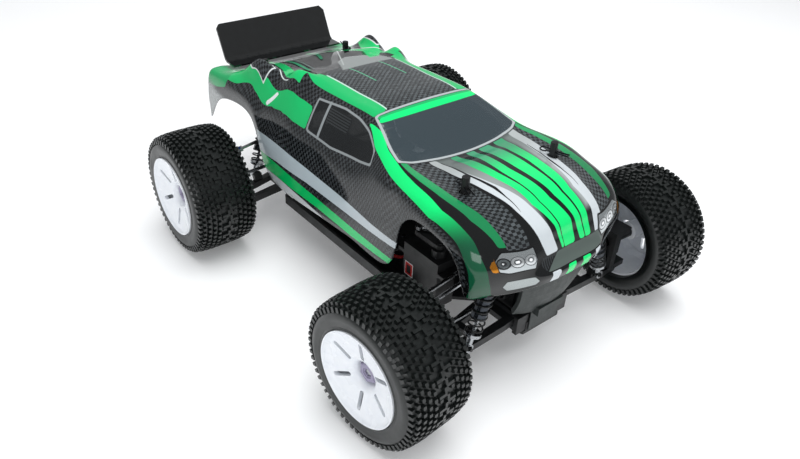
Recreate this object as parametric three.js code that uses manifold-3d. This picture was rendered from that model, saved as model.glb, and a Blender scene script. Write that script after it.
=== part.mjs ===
// A 1:10 four-wheel-drive stadium truck: a painted clear shell with a wing over a working chassis.
// Millimetres, +X forward, +Y left, +Z up. The origin is on the ground under the middle of the truck.
import * as THREE from 'three'
import { mergeVertices } from 'three/addons/utils/BufferGeometryUtils.js'
import Module from 'manifold-3d'

const wasm = await Module()
wasm.setup()

// ---- driving dimensions ----
const wheelbase = 275
const halfTrack = 138.5 // truck centre to wheel centre
const tyreRadius = 56
const tyreWidth = 58
const rimRadius = 36
const toeIn = 4.5 // degrees, front wheels only
const gap = 0.3 // between pieces that touch or fit
const overhangMiddle = 19.9 // bounding box centre to wheelbase centre, along X

// suspension: y from the truck centre, z from the axle height
const innerPivotY = 24
const innerPivotZ = -12
const hubPivotZ = -26
const kingpinInset = 30.5 // wheel centre to kingpin
const linkRise = 50 // lower arm pivot to upper link pivot, at both ends
const tieRise = 36 // lower arm pivot to tie rod pivot, at both ends
const armHalfWidth = 17 // at the inner pin
const armThickness = 6
const hingePinRadius = 1.5
const steerArm = 24 // kingpin to tie rod, and the length of every crank
const shockX = 16 // ahead of the axle
const shockTop = { y: 57, z: 48 }
const shockFootY = 75
const shockFootRise = 7.5 // above the lower arm's own line

// chassis, z from the axle height
const plateBottom = -26
const plateThickness = 3
const plateHalfWidth = 48
const guardWidth = 27
const boxHalfWidth = 18 // gearbox casing
const shaftZ = 4
const shaftRadius = 3
const spurTeeth = 54
const pinionTeeth = 18
const motorY = -30
const motorLift = 1 // can above the deck
const motorRadius = 18
const motorLength = 52
const gearX = -95
const gearWidth = 6
const batteryLength = 136
const batteryWidth = 40
const batteryHeight = 24
const servoX = 90 // horn shaft
const servoY = -50
const postRadius = 3
const frontPost = { x: 107, y: 47, top: 154 }
const rearPost = { x: -170, y: 46.5, top: 150 }
const shellWall = 1.2

// ---- worked out from them ----
const axleHeight = tyreRadius
const axleX = wheelbase / 2
const kingpinY = halfTrack - kingpinInset
const armY = kingpinY - innerPivotY
const armZ = hubPivotZ - innerPivotZ
const armLength = Math.hypot(armY, armZ)
const armSlope = Math.atan2(armZ, armY)
const shockFoot = { y: shockFootY, z: innerPivotZ + (shockFootY - innerPivotY) * armZ / armY + shockFootRise }
const deckZ = plateBottom + plateThickness // top of the chassis plate
const motorZ = deckZ + motorLift + motorRadius
const shockLength = Math.hypot(shockFoot.y - shockTop.y, shockTop.z - shockFoot.z)
const shockLean = Math.atan2(shockFoot.y - shockTop.y, shockTop.z - shockFoot.z)
const crankZ = innerPivotZ + tieRise + 4 // underside of the cranks, above the drag link
const crankThickness = 4

const finishes = {
  nylon: { color: 0x17181a, roughness: 0.55, metalness: 0 },
  composite: { color: 0x1c1d1f, roughness: 0.5, metalness: 0 },
  bumper: { color: 0x3e4443, roughness: 0.5, metalness: 0 },
  shell: { color: 0x12b85a, roughness: 0.2, metalness: 0 },
  wing: { color: 0x0b0c0e, roughness: 0.2, metalness: 0 },
  steel: { color: 0xa8abae, roughness: 0.3, metalness: 1 },
  alloy: { color: 0x2b4fa8, roughness: 0.35, metalness: 1 },
  rubber: { color: 0x1b1c1d, roughness: 0.8, metalness: 0 },
  rim: { color: 0xf2f3f5, roughness: 0.35, metalness: 0 },
  battery: { color: 0x2a3f8f, roughness: 0.4, metalness: 0 },
  electronics: { color: 0x202226, roughness: 0.45, metalness: 0 },
  gear: { color: 0xe8e4d8, roughness: 0.5, metalness: 0 },
}

// ---- solids ----
const mm = (x, y, z) => new THREE.Vector3(x, y, z)

function solidOf(geometry) {
  const bare = geometry.clone()
  bare.deleteAttribute('normal')
  bare.deleteAttribute('uv')
  const merged = mergeVertices(bare, 1e-4)
  return new wasm.Manifold(new wasm.Mesh({
    numProp: 3,
    vertProperties: new Float32Array(merged.attributes.position.array),
    triVerts: new Uint32Array(merged.index.array),
  }))
}

function geometryOf(solid) {
  const mesh = solid.getMesh()
  const geometry = new THREE.BufferGeometry()
  geometry.setAttribute('position', new THREE.BufferAttribute(mesh.vertProperties, 3))
  geometry.setIndex(new THREE.BufferAttribute(mesh.triVerts, 1))
  geometry.computeVertexNormals()
  return geometry
}

// the first piece, with the others joined on and the cuts taken away
function fuse(pieces, cuts = []) {
  let solid = solidOf(pieces[0])
  for (const piece of pieces.slice(1)) solid = solid.add(solidOf(piece))
  for (const tool of cuts) solid = solid.subtract(solidOf(tool))
  return geometryOf(solid)
}

// a block from its two corners
function block(x0, x1, y0, y1, z0, z1) {
  const geometry = new THREE.BoxGeometry(x1 - x0, y1 - y0, z1 - z0)
  return geometry.translate((x0 + x1) / 2, (y0 + y1) / 2, (z0 + z1) / 2)
}

function rod(from, to, radius, sides = 8) {
  const along = to.clone().sub(from)
  const geometry = new THREE.CylinderGeometry(radius, radius, along.length(), sides)
  const turn = new THREE.Quaternion().setFromUnitVectors(mm(0, 1, 0), along.clone().normalize())
  const middle = from.clone().add(to).multiplyScalar(0.5)
  return geometry.applyQuaternion(turn).translate(middle.x, middle.y, middle.z)
}

function outline(points) {
  return new THREE.Shape(points.map(([a, b]) => new THREE.Vector2(a, b)))
}

// an outline in x, y, raised from z0 to z1
function plateXY(shape, z0, z1, curveSegments = 6) {
  const settings = { depth: z1 - z0, bevelEnabled: false, curveSegments }
  return new THREE.ExtrudeGeometry(shape, settings).translate(0, 0, z0)
}

// an outline in y, z, stretched from x0 to x1
function plateYZ(shape, x0, x1, curveSegments = 6) {
  const geometry = plateXY(shape, x0, x1, curveSegments)
  return geometry.rotateX(Math.PI / 2).rotateZ(Math.PI / 2)
}

// a closed profile of [radius, distance along Y] pairs, turned about Y
function turned(profile, segments) {
  const points = profile.map(([radius, along]) => new THREE.Vector2(radius, along))
  return new THREE.LatheGeometry([...points, points[0].clone()], segments)
}

// a flat bar with round ends between two points of a level plane
function bar(x0, y0, x1, y1, halfWidth, z0, z1) {
  const angle = Math.atan2(y1 - y0, x1 - x0)
  const shape = new THREE.Shape()
  shape.absarc(x1, y1, halfWidth, angle - Math.PI / 2, angle + Math.PI / 2, false)
  shape.absarc(x0, y0, halfWidth, angle + Math.PI / 2, angle + Math.PI * 1.5, false)
  return plateXY(shape, z0, z1, 5)
}

// a thin sheet of one thickness under a surface, closed all round
function sheet(pointAt, rows, columns, thickness) {
  const step = 1e-3
  const vertices = []
  const grid = (row, column, depth) => {
    const u = row / rows
    const v = column / columns
    const here = pointAt(u, v)
    const alongU = pointAt(Math.min(u + step, 1), v).sub(pointAt(Math.max(u - step, 0), v))
    const alongV = pointAt(u, Math.min(v + step, 1)).sub(pointAt(u, Math.max(v - step, 0)))
    const normal = alongU.cross(alongV).normalize()
    return here.addScaledVector(normal, -depth)
  }
  for (const depth of [0, thickness]) {
    for (let row = 0; row <= rows; row++) {
      for (let column = 0; column <= columns; column++) {
        vertices.push(...grid(row, column, depth).toArray())
      }
    }
  }
  const layer = (rows + 1) * (columns + 1)
  const at = (row, column, side) => side * layer + row * (columns + 1) + column
  const faces = []
  const quad = (a, b, c, d) => faces.push(a, b, c, a, c, d)
  for (let row = 0; row < rows; row++) {
    for (let column = 0; column < columns; column++) {
      quad(at(row, column, 0), at(row + 1, column, 0), at(row + 1, column + 1, 0), at(row, column + 1, 0))
      quad(at(row, column, 1), at(row, column + 1, 1), at(row + 1, column + 1, 1), at(row + 1, column, 1))
    }
  }
  for (let row = 0; row < rows; row++) {
    quad(at(row, 0, 0), at(row, 0, 1), at(row + 1, 0, 1), at(row + 1, 0, 0))
    quad(at(row, columns, 0), at(row + 1, columns, 0), at(row + 1, columns, 1), at(row, columns, 1))
  }
  for (let column = 0; column < columns; column++) {
    quad(at(0, column, 0), at(0, column + 1, 0), at(0, column + 1, 1), at(0, column, 1))
    quad(at(rows, column, 0), at(rows, column, 1), at(rows, column + 1, 1), at(rows, column + 1, 0))
  }
  const geometry = new THREE.BufferGeometry()
  geometry.setAttribute('position', new THREE.BufferAttribute(new Float32Array(vertices), 3))
  geometry.setIndex(faces)
  return geometry
}

function part(name, finish, geometry, parent) {
  geometry.computeVertexNormals()
  const material = new THREE.MeshStandardMaterial(finishes[finish])
  const mesh = new THREE.Mesh(geometry, material)
  mesh.name = name
  parent.add(mesh)
  return mesh
}

// ---- the shell ----
// Half cross sections from the nose to the tail. Each runs from the centre line, over the hood or
// roof edge and the shoulder, down the side to the arch or sill. Heights are above the ground,
// as drawn for the wheelbase and axle height named here.
const drawnHalfWheelbase = 137.5
const drawnAxleHeight = 56
const shellSections = {
  lipBottom: [[178, 0, 95], [177, 25, 95], [168, 46, 90],
    [159, 63, 88], [154, 72, 87], [151, 77, 87], [148, 79, 88]],
  lipTop: [[179, 0, 102], [178, 26, 102], [170, 45, 101],
    [163, 65, 102], [157, 76, 101], [152, 81, 99], [146, 82, 100]],
  grilleBottom: [[173, 0, 107], [173, 25, 107], [170, 42, 110],
    [162, 68, 112], [155, 78, 111], [148, 82, 109], [142, 82, 109]],
  grilleTop: [[167, 0, 120], [167, 28, 120], [166, 43, 120],
    [156, 70, 122], [148, 79, 120], [141, 82, 117], [136, 82, 116]],
  hoodEdge: [[162, 0, 131], [161, 28, 131], [158, 46, 129],
    [147, 68, 131], [139, 78, 128], [131, 82, 123], [127, 82, 121]],
  hoodFront: [[142, 0, 143.5], [141, 28, 143], [136, 48, 139],
    [127, 67, 138.5], [120, 77, 134], [113, 82, 127], [110, 82, 124]],
  hoodMiddle: [[107, 0, 147], [107, 28, 146], [107, 48, 142],
    [102, 66, 142.5], [98, 77, 139], [94, 82, 130], [92, 82, 123]],
  doorFront: [[84, 0, 146], [83, 29, 145.5], [80, 50, 143],
    [76, 66, 143.5], [76, 77, 138], [78, 82, 125], [81, 82, 113]],
  screenBase: [[66, 0, 143], [64, 30, 143.5], [58, 52, 144],
    [50, 66, 144], [54, 77, 131], [60, 82, 105], [65, 81, 67]],
  screenTop: [[6, 0, 164], [6, 25, 163.5], [6, 41, 162.5],
    [6, 51, 160], [10, 71, 132], [12, 81, 104], [14, 81, 64]],
  roofMiddle: [[-35, 0, 165], [-35, 25, 164.5], [-35, 40, 163],
    [-34, 51, 159.5], [-30, 72, 131], [-30, 81, 103], [-30, 81, 61]],
  roofRear: [[-75, 0, 164.5], [-75, 25, 164], [-75, 38, 163],
    [-76, 50, 159.5], [-72, 72, 130], [-72, 81, 101], [-72, 81, 58]],
  firstHump: [[-98, 0, 161], [-98, 25, 161], [-98, 44, 160.5],
    [-98, 54, 165], [-96, 70, 137], [-100, 80, 102], [-100, 80, 57]],
  notch: [[-120, 0, 156], [-120, 27, 156], [-119, 46, 154.5],
    [-118, 58, 153], [-117, 72, 134], [-119, 80, 104], [-121, 80, 66]],
  secondHump: [[-150, 0, 149], [-150, 29, 149], [-150, 52, 150],
    [-150, 62.5, 160], [-148, 73, 136], [-145, 80, 124], [-144, 80, 110]],
  deckRear: [[-178, 0, 140], [-178, 30, 140], [-178, 53, 139],
    [-178, 65, 141], [-178, 74, 135], [-181, 80, 124], [-182, 80, 112]],
  tailFront: [[-200, 0, 131.5], [-202, 31, 131.5], [-204, 54, 130.5],
    [-205, 66, 131], [-206, 76, 129], [-207, 80, 118], [-208, 80, 102]],
  tailEdge: [[-216, 0, 129], [-218, 31, 129], [-223, 54, 128.5],
    [-226, 67, 129], [-228, 76, 126], [-229, 80, 105], [-228, 80, 77]],
}

const sections = Object.values(shellSections)
const along = wheelbase / 2 / drawnHalfWheelbase
const fullSections = sections.map((half) => {
  const left = half.map(([x, y, z]) => mm(x * along, y, z - drawnAxleHeight))
  const right = half.slice(1).map(([x, y, z]) => mm(x * along, -y, z - drawnAxleHeight))
  return [...right.reverse(), ...left]
})
const feature = fullSections[0].map((_, column) => {
  return new THREE.CatmullRomCurve3(fullSections.map((section) => section[column]), false, 'centripetal')
})

function shellPoint(u, v) {
  const section = feature.map((curve) => curve.getPoint(u))
  return new THREE.CatmullRomCurve3(section, false, 'centripetal').getPoint(v)
}

const truck = new THREE.Group()
truck.position.set(overhangMiddle, 0, axleHeight)
const bodyPosts = [frontPost, rearPost].flatMap((post) => [1, -1].map((side) => {
  return { x: post.x * along, y: side * post.y, top: post.top - drawnAxleHeight }
}))

const postHoles = bodyPosts.map(({ x, y, top }) => rod(mm(x, y, 40), mm(x, y, top + 20), postRadius + 1))
const shellSheet = sheet(shellPoint, 28, 18, shellWall)
part('body_shell', 'shell', fuse([shellSheet], postHoles), truck)

// ---- the wing: a blade that leans back from a low flange ----
const wingHalfWidth = 62.5
const wingTop = 112
const wingCorner = 5
const wingProfile = outline([
  [-203, 78], [-218, 78], [-222, 80.5], [-237, 110.5], [-235.4, 111.5], [-220.5, 82], [-217.4, 79.6], [-203, 79.6],
].map(([x, z]) => [x * along, z]))
const wingBlade = plateXY(wingProfile, -wingHalfWidth, wingHalfWidth).rotateX(Math.PI / 2)
const wingCorners = [1, -1].map((side) => {
  const corner = outline([[wingHalfWidth - wingCorner, wingTop], [wingHalfWidth + 1, wingTop],
    [wingHalfWidth + 1, wingTop - wingCorner - 1]].map(([y, z]) => [side * y, z]))
  return plateYZ(corner, -260 * along, -200 * along)
})
part('rear_wing', 'wing', fuse([wingBlade], wingCorners), truck)

// ---- chassis plate, guards and bumper ----
const waist = 23
const shoulderX = 84
const plateEndX = axleX + 22
const plateOutline = outline([
  [plateEndX, waist - 3], [plateEndX - 6, waist], [axleX - 30, waist], [shoulderX + 6, plateHalfWidth - 6],
  [shoulderX, plateHalfWidth], [-shoulderX, plateHalfWidth], [-shoulderX - 6, plateHalfWidth - 6],
  [-axleX + 30, waist], [-plateEndX, waist], [-plateEndX, -waist], [-axleX + 30, -waist],
  [-shoulderX - 6, -plateHalfWidth + 6], [-shoulderX, -plateHalfWidth], [shoulderX, -plateHalfWidth],
  [shoulderX + 6, -plateHalfWidth + 6], [axleX - 30, -waist], [plateEndX - 6, -waist], [plateEndX, -waist + 3],
])
part('chassis_plate', 'composite', plateXY(plateOutline, plateBottom, deckZ), truck)

const guardInner = plateHalfWidth + gap
const guardOuter = plateHalfWidth + guardWidth
const guardProfile = (side) => outline([
  [guardInner, plateBottom], [guardOuter - 9, plateBottom], [guardOuter, plateBottom + 8],
  [guardOuter, plateBottom + 17], [guardOuter - 2.5, plateBottom + 17], [guardOuter - 2.5, plateBottom + 9],
  [guardOuter - 10, deckZ], [guardInner, deckZ],
].map(([y, z]) => [side * y, z]))
const guardFront = 72
const guardRear = -106
for (const [side, word] of [[1, 'left'], [-1, 'right']]) {
  const corner = outline([[guardRear - 1, guardOuter - 12], [guardRear + 11, guardOuter + 1],
    [guardRear - 1, guardOuter + 1]].map(([x, y]) => [x, side * y]))
  const guard = fuse([plateYZ(guardProfile(side), guardRear, guardFront)], [plateXY(corner, plateBottom - 1, 10)])
  part(`side_guard_${word}`, 'composite', guard, truck)
}

const bumperHalfWidth = 37
const bumperTop = 32
const bumperDrop = 38
const bumperLead = 33 // ahead of the axle, at the top middle
const bumperWall = 4
function bumperPoint(u, v) {
  const side = 2 * v - 1
  const x = axleX + bumperLead - 9 * u * u - 6 * side * side
  return mm(x, side * bumperHalfWidth * (1 - 0.12 * u), bumperTop - bumperDrop * u + 4 * u * side * side)
}
const bumperBrace = block(axleX + 22.4, axleX + 23, -16, 16, deckZ + gap, 5)
const bumperFoot = block(axleX + 22.4, axleX + 28, -14, 14, -7, 0)
const bumper = fuse([sheet(bumperPoint, 5, 8, bumperWall), bumperFoot, bumperBrace])
part('front_bumper', 'bumper', bumper, truck)

// ---- gearboxes, towers and body mounts: one end is drawn, and the rear is its mirror image ----
const boxRear = -19
const boxFront = 5.7
const boxTop = 18
const cupReach = innerPivotY + 4
const cupRadius = 5.5
const cupBore = 4.1
const baseHalf = 22
const earThickness = 4
const towerBack = boxFront + gap
const towerThickness = 3
const crankPostRadius = 2.5

function gearboxGeometry(steered) {
  const base = block(-baseHalf, baseHalf, -boxHalfWidth, boxHalfWidth, deckZ + gap, deckZ + 8)
  const casing = block(boxRear, boxFront, -boxHalfWidth, boxHalfWidth, deckZ + gap, boxTop)
  const cup = rod(mm(0, -cupReach, shaftZ), mm(0, cupReach, shaftZ), cupRadius, 14)
  const earY = innerPivotY + 4.5
  const ears = [armHalfWidth + gap + 0.2, -armHalfWidth - gap - 0.2 - earThickness].map((x) => {
    return block(x, x + earThickness, -earY, earY, deckZ + gap, innerPivotZ + 5)
  })
  const nose = rod(mm(boxRear + 1, 0, shaftZ), mm(boxRear - 3, 0, shaftZ), 9, 12)
  const pieces = [base, casing, cup, ...ears, nose]
  if (steered) {
    pieces.push(block(-8, boxFront, -innerPivotY - 4, innerPivotY + 4, boxTop - 4, boxTop))
    for (const side of [1, -1]) {
      const foot = mm(0, side * innerPivotY, boxTop - 1)
      pieces.push(rod(foot, mm(0, side * innerPivotY, crankZ - gap), crankPostRadius + 2))
      pieces.push(rod(foot, mm(0, side * innerPivotY, crankZ + crankThickness + 1), crankPostRadius))
    }
  }
  const bores = [1, -1].map((side) => {
    return rod(mm(0, side * (innerPivotY - 7), shaftZ), mm(0, side * (cupReach + 1), shaftZ), cupBore, 12)
  })
  return fuse(pieces, bores)
}

const towerHalf = [[16, -10], [16, 17], [30, 27], [62, 41], [66, 46], [66, 54], [62, 57], [54, 57], [30, 48]]
function towerGeometry() {
  const mirrored = towerHalf.map(([y, z]) => [-y, z]).reverse()
  const plate = plateYZ(outline([...towerHalf, ...mirrored]), towerBack, towerBack + towerThickness)
  const pieces = [plate]
  for (const side of [1, -1]) {
    const y = side * shockTop.y
    pieces.push(rod(mm(towerBack + 1, y, shockTop.z), mm(shockX + 4.5, y, shockTop.z), hingePinRadius))
    const near = side * (innerPivotY - 5)
    const far = side * (innerPivotY + 1.5)
    const linkZ = innerPivotZ + linkRise
    pieces.push(block(-6, towerBack + 1, Math.min(near, far), Math.max(near, far), linkZ - 3.5, linkZ + 3.5))
  }
  const window = outline([[-11, 22], [11, 22], [16, 32], [16, 40], [-16, 40], [-16, 32]])
  return fuse(pieces, [plateYZ(window, towerBack - 1, towerBack + towerThickness + 1)])
}

// a cross bar that carries both posts, on two arms from the tower
function mountGeometry(post, direction) {
  const x = post.x * along - direction * axleX
  const barZ = 40
  const near = towerBack - gap
  const local = direction * x
  const inside = local < near
  const reach = inside ? [local, near] : [near + towerThickness + 2 * gap, local]
  const pieces = [block(local - 4, local + 4, -post.y - 4, post.y + 4, barZ + 2, barZ + 6)]
  for (const side of [1, -1]) {
    pieces.push(block(reach[0], reach[1], side * 12 - 4, side * 12 + 4, barZ + 2, barZ + 6))
    const foot = mm(local, side * post.y, barZ + 3)
    pieces.push(rod(foot, mm(local, side * post.y, post.top - drawnAxleHeight), postRadius))
  }
  return fuse(pieces)
}

for (const [direction, word, post] of [[1, 'front', frontPost], [-1, 'rear', rearPost]]) {
  const end = new THREE.Group()
  end.position.x = direction * axleX
  end.scale.x = direction
  part(`${word}_gearbox`, 'nylon', gearboxGeometry(direction > 0), end)
  part(`${word}_shock_tower`, 'composite', towerGeometry(), end)
  part(`${word}_body_mount`, 'nylon', mountGeometry(post, direction), end)
  truck.add(end)
}

// ---- battery, motor, electronics and servo ----
const stackZ = deckZ + gap
const roundedBlock = (x0, x1, y0, y1, z0, z1, radius) => {
  const shape = new THREE.Shape()
  shape.absarc(y1 - radius, z1 - radius, radius, 0, Math.PI / 2, false)
  shape.absarc(y0 + radius, z1 - radius, radius, Math.PI / 2, Math.PI, false)
  shape.absarc(y0 + radius, z0 + radius, radius, Math.PI, Math.PI * 1.5, false)
  shape.absarc(y1 - radius, z0 + radius, radius, Math.PI * 1.5, Math.PI * 2, false)
  return plateYZ(shape, x0, x1, 3)
}
const batteryFront = 56
const batteryInner = shaftRadius + 4
part('battery_pack', 'battery', roundedBlock(batteryFront - batteryLength, batteryFront,
  batteryInner, batteryInner + batteryWidth, stackZ, stackZ + batteryHeight, 5), truck)

const motorBack = gearX + gearWidth / 2 + 4
const motorCan = rod(mm(motorBack, motorY, motorZ), mm(motorBack + motorLength, motorY, motorZ), motorRadius, 20)
const motorBoss = rod(mm(motorBack - 2.5, motorY, motorZ), mm(motorBack + 1, motorY, motorZ), 6, 12)
const motorShaft = rod(mm(gearX - gearWidth / 2 - 1, motorY, motorZ), mm(motorBack, motorY, motorZ), 1.6, 8)
const motorTail = rod(mm(motorBack + motorLength - 1, motorY, motorZ),
  mm(motorBack + motorLength + 4, motorY, motorZ), 7, 12)
part('electric_motor', 'steel', fuse([motorCan, motorBoss, motorShaft, motorTail]), truck)

const controlFront = 44
const controlBack = -24
const controlInner = -9
const controlOuter = -44
const controlPieces = [block(controlBack, controlFront, controlOuter, controlInner, stackZ, stackZ + 20)]
for (let fin = 0; fin < 6; fin++) {
  const x = controlBack + 5 + fin * 5
  controlPieces.push(block(x, x + 2, controlOuter + 4, controlInner - 4, stackZ + 19, stackZ + 27))
}
part('receiver_esc_unit', 'electronics', fuse(controlPieces), truck)

const servoHalfWidth = 9.5
const servoTop = crankZ - 4
part('steering_servo', 'electronics', fuse([
  block(servoX - 30, servoX + 10, servoY - servoHalfWidth, servoY + servoHalfWidth, stackZ, servoTop - 3),
  block(servoX - 37, servoX + 17, servoY - servoHalfWidth, servoY + servoHalfWidth, servoTop - 14, servoTop - 11),
  rod(mm(servoX, servoY, servoTop - 4), mm(servoX, servoY, crankZ - gap), 6, 12),
  rod(mm(servoX, servoY, crankZ - 1), mm(servoX, servoY, crankZ + crankThickness + 1), crankPostRadius),
]), truck)

// ---- the drive line: centre shaft, spur gear and pinion ----
const gearDistance = Math.hypot(motorY, motorZ - shaftZ)
const toothModule = 2 * gearDistance / (spurTeeth + pinionTeeth)
const lineOfCentres = Math.atan2(motorZ - shaftZ, motorY)

function gearGeometry(teeth, boreRadius, phase) {
  const pitchRadius = toothModule * teeth / 2
  const root = pitchRadius - 1.15 * toothModule
  const tip = pitchRadius + 0.75 * toothModule
  const toothAngle = 2 * Math.PI / teeth
  const points = []
  for (let tooth = 0; tooth < teeth; tooth++) {
    const middle = phase + tooth * toothAngle
    for (const [share, radius] of [[-0.27, root], [-0.13, tip], [0.13, tip], [0.27, root]]) {
      const angle = middle + share * toothAngle
      points.push([radius * Math.cos(angle), radius * Math.sin(angle)])
    }
  }
  const shape = outline(points)
  const bore = new THREE.Path()
  bore.absarc(0, 0, boreRadius, 0, Math.PI * 2, true)
  shape.holes.push(bore)
  return plateYZ(shape, -gearWidth / 2, gearWidth / 2)
}
const shaftReach = axleX + boxRear - 3 - gap
part('center_drive_shaft', 'steel', fuse([
  rod(mm(-shaftReach, 0, shaftZ), mm(shaftReach, 0, shaftZ), shaftRadius, 10),
  rod(mm(-shaftReach, 0, shaftZ), mm(-shaftReach + 10, 0, shaftZ), shaftRadius + 2, 10),
  rod(mm(shaftReach - 10, 0, shaftZ), mm(shaftReach, 0, shaftZ), shaftRadius + 2, 10),
]), truck)
const spur = part('spur_gear', 'gear', gearGeometry(spurTeeth, shaftRadius + gap, lineOfCentres), truck)
spur.position.set(gearX, 0, shaftZ)
const pinionPhase = lineOfCentres + Math.PI + Math.PI / pinionTeeth
const pinion = part('pinion_gear', 'steel', gearGeometry(pinionTeeth, 1.6 + gap, pinionPhase), truck)
pinion.position.set(gearX, motorY, motorZ)

// ---- steering: cranks of one length, so every link between them moves without turning ----
const crankHalfWidth = 3.6
const pinReach = 5
const linkZ = innerPivotZ + tieRise // drag link and tie rods
const pinHole = hingePinRadius + 0.5

function crankGeometry(up) {
  const pinTo = up ? crankZ + crankThickness + pinReach : crankZ
  return fuse([
    bar(0, 0, -steerArm, 0, crankHalfWidth, crankZ, crankZ + crankThickness),
    rod(mm(0, 0, crankZ), mm(0, 0, crankZ + crankThickness), 5, 12),
    rod(mm(-steerArm, 0, crankZ - pinReach), mm(-steerArm, 0, pinTo + 0.5), hingePinRadius),
  ], [rod(mm(0, 0, crankZ - 1), mm(0, 0, crankZ + crankThickness + 1), crankPostRadius + gap)])
}
for (const [side, word] of [[1, 'left'], [-1, 'right']]) {
  const crank = part(`bell_crank_${word}`, 'nylon', crankGeometry(side < 0), truck)
  crank.position.set(axleX, side * innerPivotY, 0)
}
const linkBar = bar(0, -innerPivotY, 0, innerPivotY, 3.2, linkZ - 2, linkZ + 2)
const linkHoles = [1, -1].map((side) => {
  const y = side * innerPivotY
  return rod(mm(0, y, linkZ - 3), mm(0, y, linkZ + 3), pinHole)
})
part('drag_link', 'nylon', fuse([linkBar], linkHoles), truck).position.x = axleX - steerArm

const hornPiece = fuse([
  bar(0, 0, -steerArm, 0, crankHalfWidth, crankZ, crankZ + crankThickness),
  rod(mm(-steerArm, 0, crankZ + 1), mm(-steerArm, 0, crankZ + crankThickness + pinReach), hingePinRadius),
], [rod(mm(0, 0, crankZ - 1), mm(0, 0, crankZ + crankThickness + 1), crankPostRadius + gap)])
part('servo_horn', 'nylon', hornPiece, truck).position.set(servoX, servoY, 0)

const servoEnd = mm(servoX - steerArm, servoY, 0)
const crankEnd = mm(axleX - steerArm, -innerPivotY, 0)
const servoLinkZ = crankZ + crankThickness + 1
part('servo_link', 'steel', fuse([
  bar(servoEnd.x, servoEnd.y, crankEnd.x, crankEnd.y, 1.8, servoLinkZ, servoLinkZ + 3),
  rod(mm(servoEnd.x, servoEnd.y, servoLinkZ), mm(servoEnd.x, servoEnd.y, servoLinkZ + 3), 3.6),
  rod(mm(crankEnd.x, crankEnd.y, servoLinkZ), mm(crankEnd.x, crankEnd.y, servoLinkZ + 3), 3.6),
], [servoEnd, crankEnd].map(({ x, y }) => {
  return rod(mm(x, y, servoLinkZ - 1), mm(x, y, servoLinkZ + 4), pinHole)
})), truck)

// ---- one corner, drawn as the front left: x from the axle, y from the truck centre ----
// a point of the corner, in the lower arm's own frame: along the arm and above its middle plane
function onArm(y, z) {
  const dy = y - innerPivotY
  const dz = z - innerPivotZ
  return { s: dy * Math.cos(armSlope) + dz * Math.sin(armSlope), h: dz * Math.cos(armSlope) - dy * Math.sin(armSlope) }
}

const shockEyeHalf = 2.5 // half the width of a shock's end
const forkInner = 6.4 // half the space between the arm's outer ears
const forkOuter = 10
const earRadius = 4
function lowerArmGeometry() {
  const outer = armLength
  const shape = outline([
    [-armHalfWidth, 0], [armHalfWidth, 0], [armHalfWidth, 14], [forkOuter + 2, outer - 14], [forkOuter, outer - 4],
    [forkOuter, outer], [forkInner, outer], [forkInner, outer - 6], [-forkInner, outer - 6], [-forkInner, outer],
    [-forkOuter, outer], [-forkOuter, outer - 4], [-forkOuter - 2, outer - 14], [-armHalfWidth, 14],
  ])
  const ribs = [[9, 34], [39, 68]]
  for (const [near, far] of ribs) {
    const halfNear = armHalfWidth - 5 - near * 0.06
    const halfFar = armHalfWidth - 5 - far * 0.06
    shape.holes.push(new THREE.Path([[-halfNear, near], [-halfFar, far], [halfFar, far], [halfNear, near]]
      .map(([x, s]) => new THREE.Vector2(x * 0.85, s))))
  }
  const foot = onArm(shockFoot.y, shockFoot.z)
  return fuse([
    plateXY(shape, -armThickness / 2, armThickness / 2),
    rod(mm(-armHalfWidth, 0, 0), mm(armHalfWidth, 0, 0), earRadius),
    rod(mm(-forkOuter, outer, 0), mm(-forkInner, outer, 0), earRadius),
    rod(mm(forkInner, outer, 0), mm(forkOuter, outer, 0), earRadius),
    block(8.5, shockX - shockEyeHalf - gap, foot.s - 4, foot.s + 4, 0, foot.h + 3),
    rod(mm(12, foot.s, foot.h), mm(shockX + 4.5, foot.s, foot.h), hingePinRadius),
  ])
}

// a rod with a moulded end at each side of it, short of both pivots
function linkGeometry(length, radius) {
  const short = 4.9
  const end = 15
  return fuse([
    rod(mm(0, short, 0), mm(0, length - short, 0), radius, 6),
    rod(mm(0, short, 0), mm(0, end, 0), radius + 1.4, 6),
    rod(mm(0, length - end, 0), mm(0, length - short, 0), radius + 1.4, 6),
  ])
}

const frontLinkX = -3.5 // upper links, from the axle
const rearLinkX = 2.4
const pillarInner = 11.5
const carrierTop = 14
const carrierBottom = -14
const carrierWall = 5
const droopRelief = 2.8 // keeps the carrier's sill off the arm at full droop
function upperEar(linkX) {
  const z = hubPivotZ + linkRise
  return block(linkX - 5, linkX + 5, kingpinY - 1.5, kingpinY + 2.5, carrierTop, z + 3.5)
}

function hubFoot() {
  return [
    rod(mm(-forkInner + gap, kingpinY, hubPivotZ), mm(forkInner - gap, kingpinY, hubPivotZ), earRadius),
    block(-forkInner + gap, forkInner - gap, kingpinY - earRadius, kingpinY + earRadius, hubPivotZ, carrierBottom),
  ]
}

// the front carrier is a C: a plate above and below the knuckle, joined by two pillars inboard of it
function carrierGeometry(linkX) {
  const inner = kingpinY - 16
  const halfLength = pillarInner + 4
  const outer = kingpinY + 4
  const sillBottom = carrierBottom - carrierWall
  const pieces = [
    block(-halfLength, halfLength, inner, outer, carrierTop, carrierTop + carrierWall),
    block(-halfLength, halfLength, kingpinY - 8, outer, sillBottom, carrierBottom),
    block(-halfLength, halfLength, inner, kingpinY - 7, sillBottom + droopRelief, carrierBottom),
  ]
  for (const x of [pillarInner, -pillarInner - 4]) {
    pieces.push(block(x, x + 4, inner, inner + 6, carrierBottom - 1, carrierTop + 1))
  }
  return fuse([...pieces, upperEar(linkX), ...hubFoot()])
}

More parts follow.
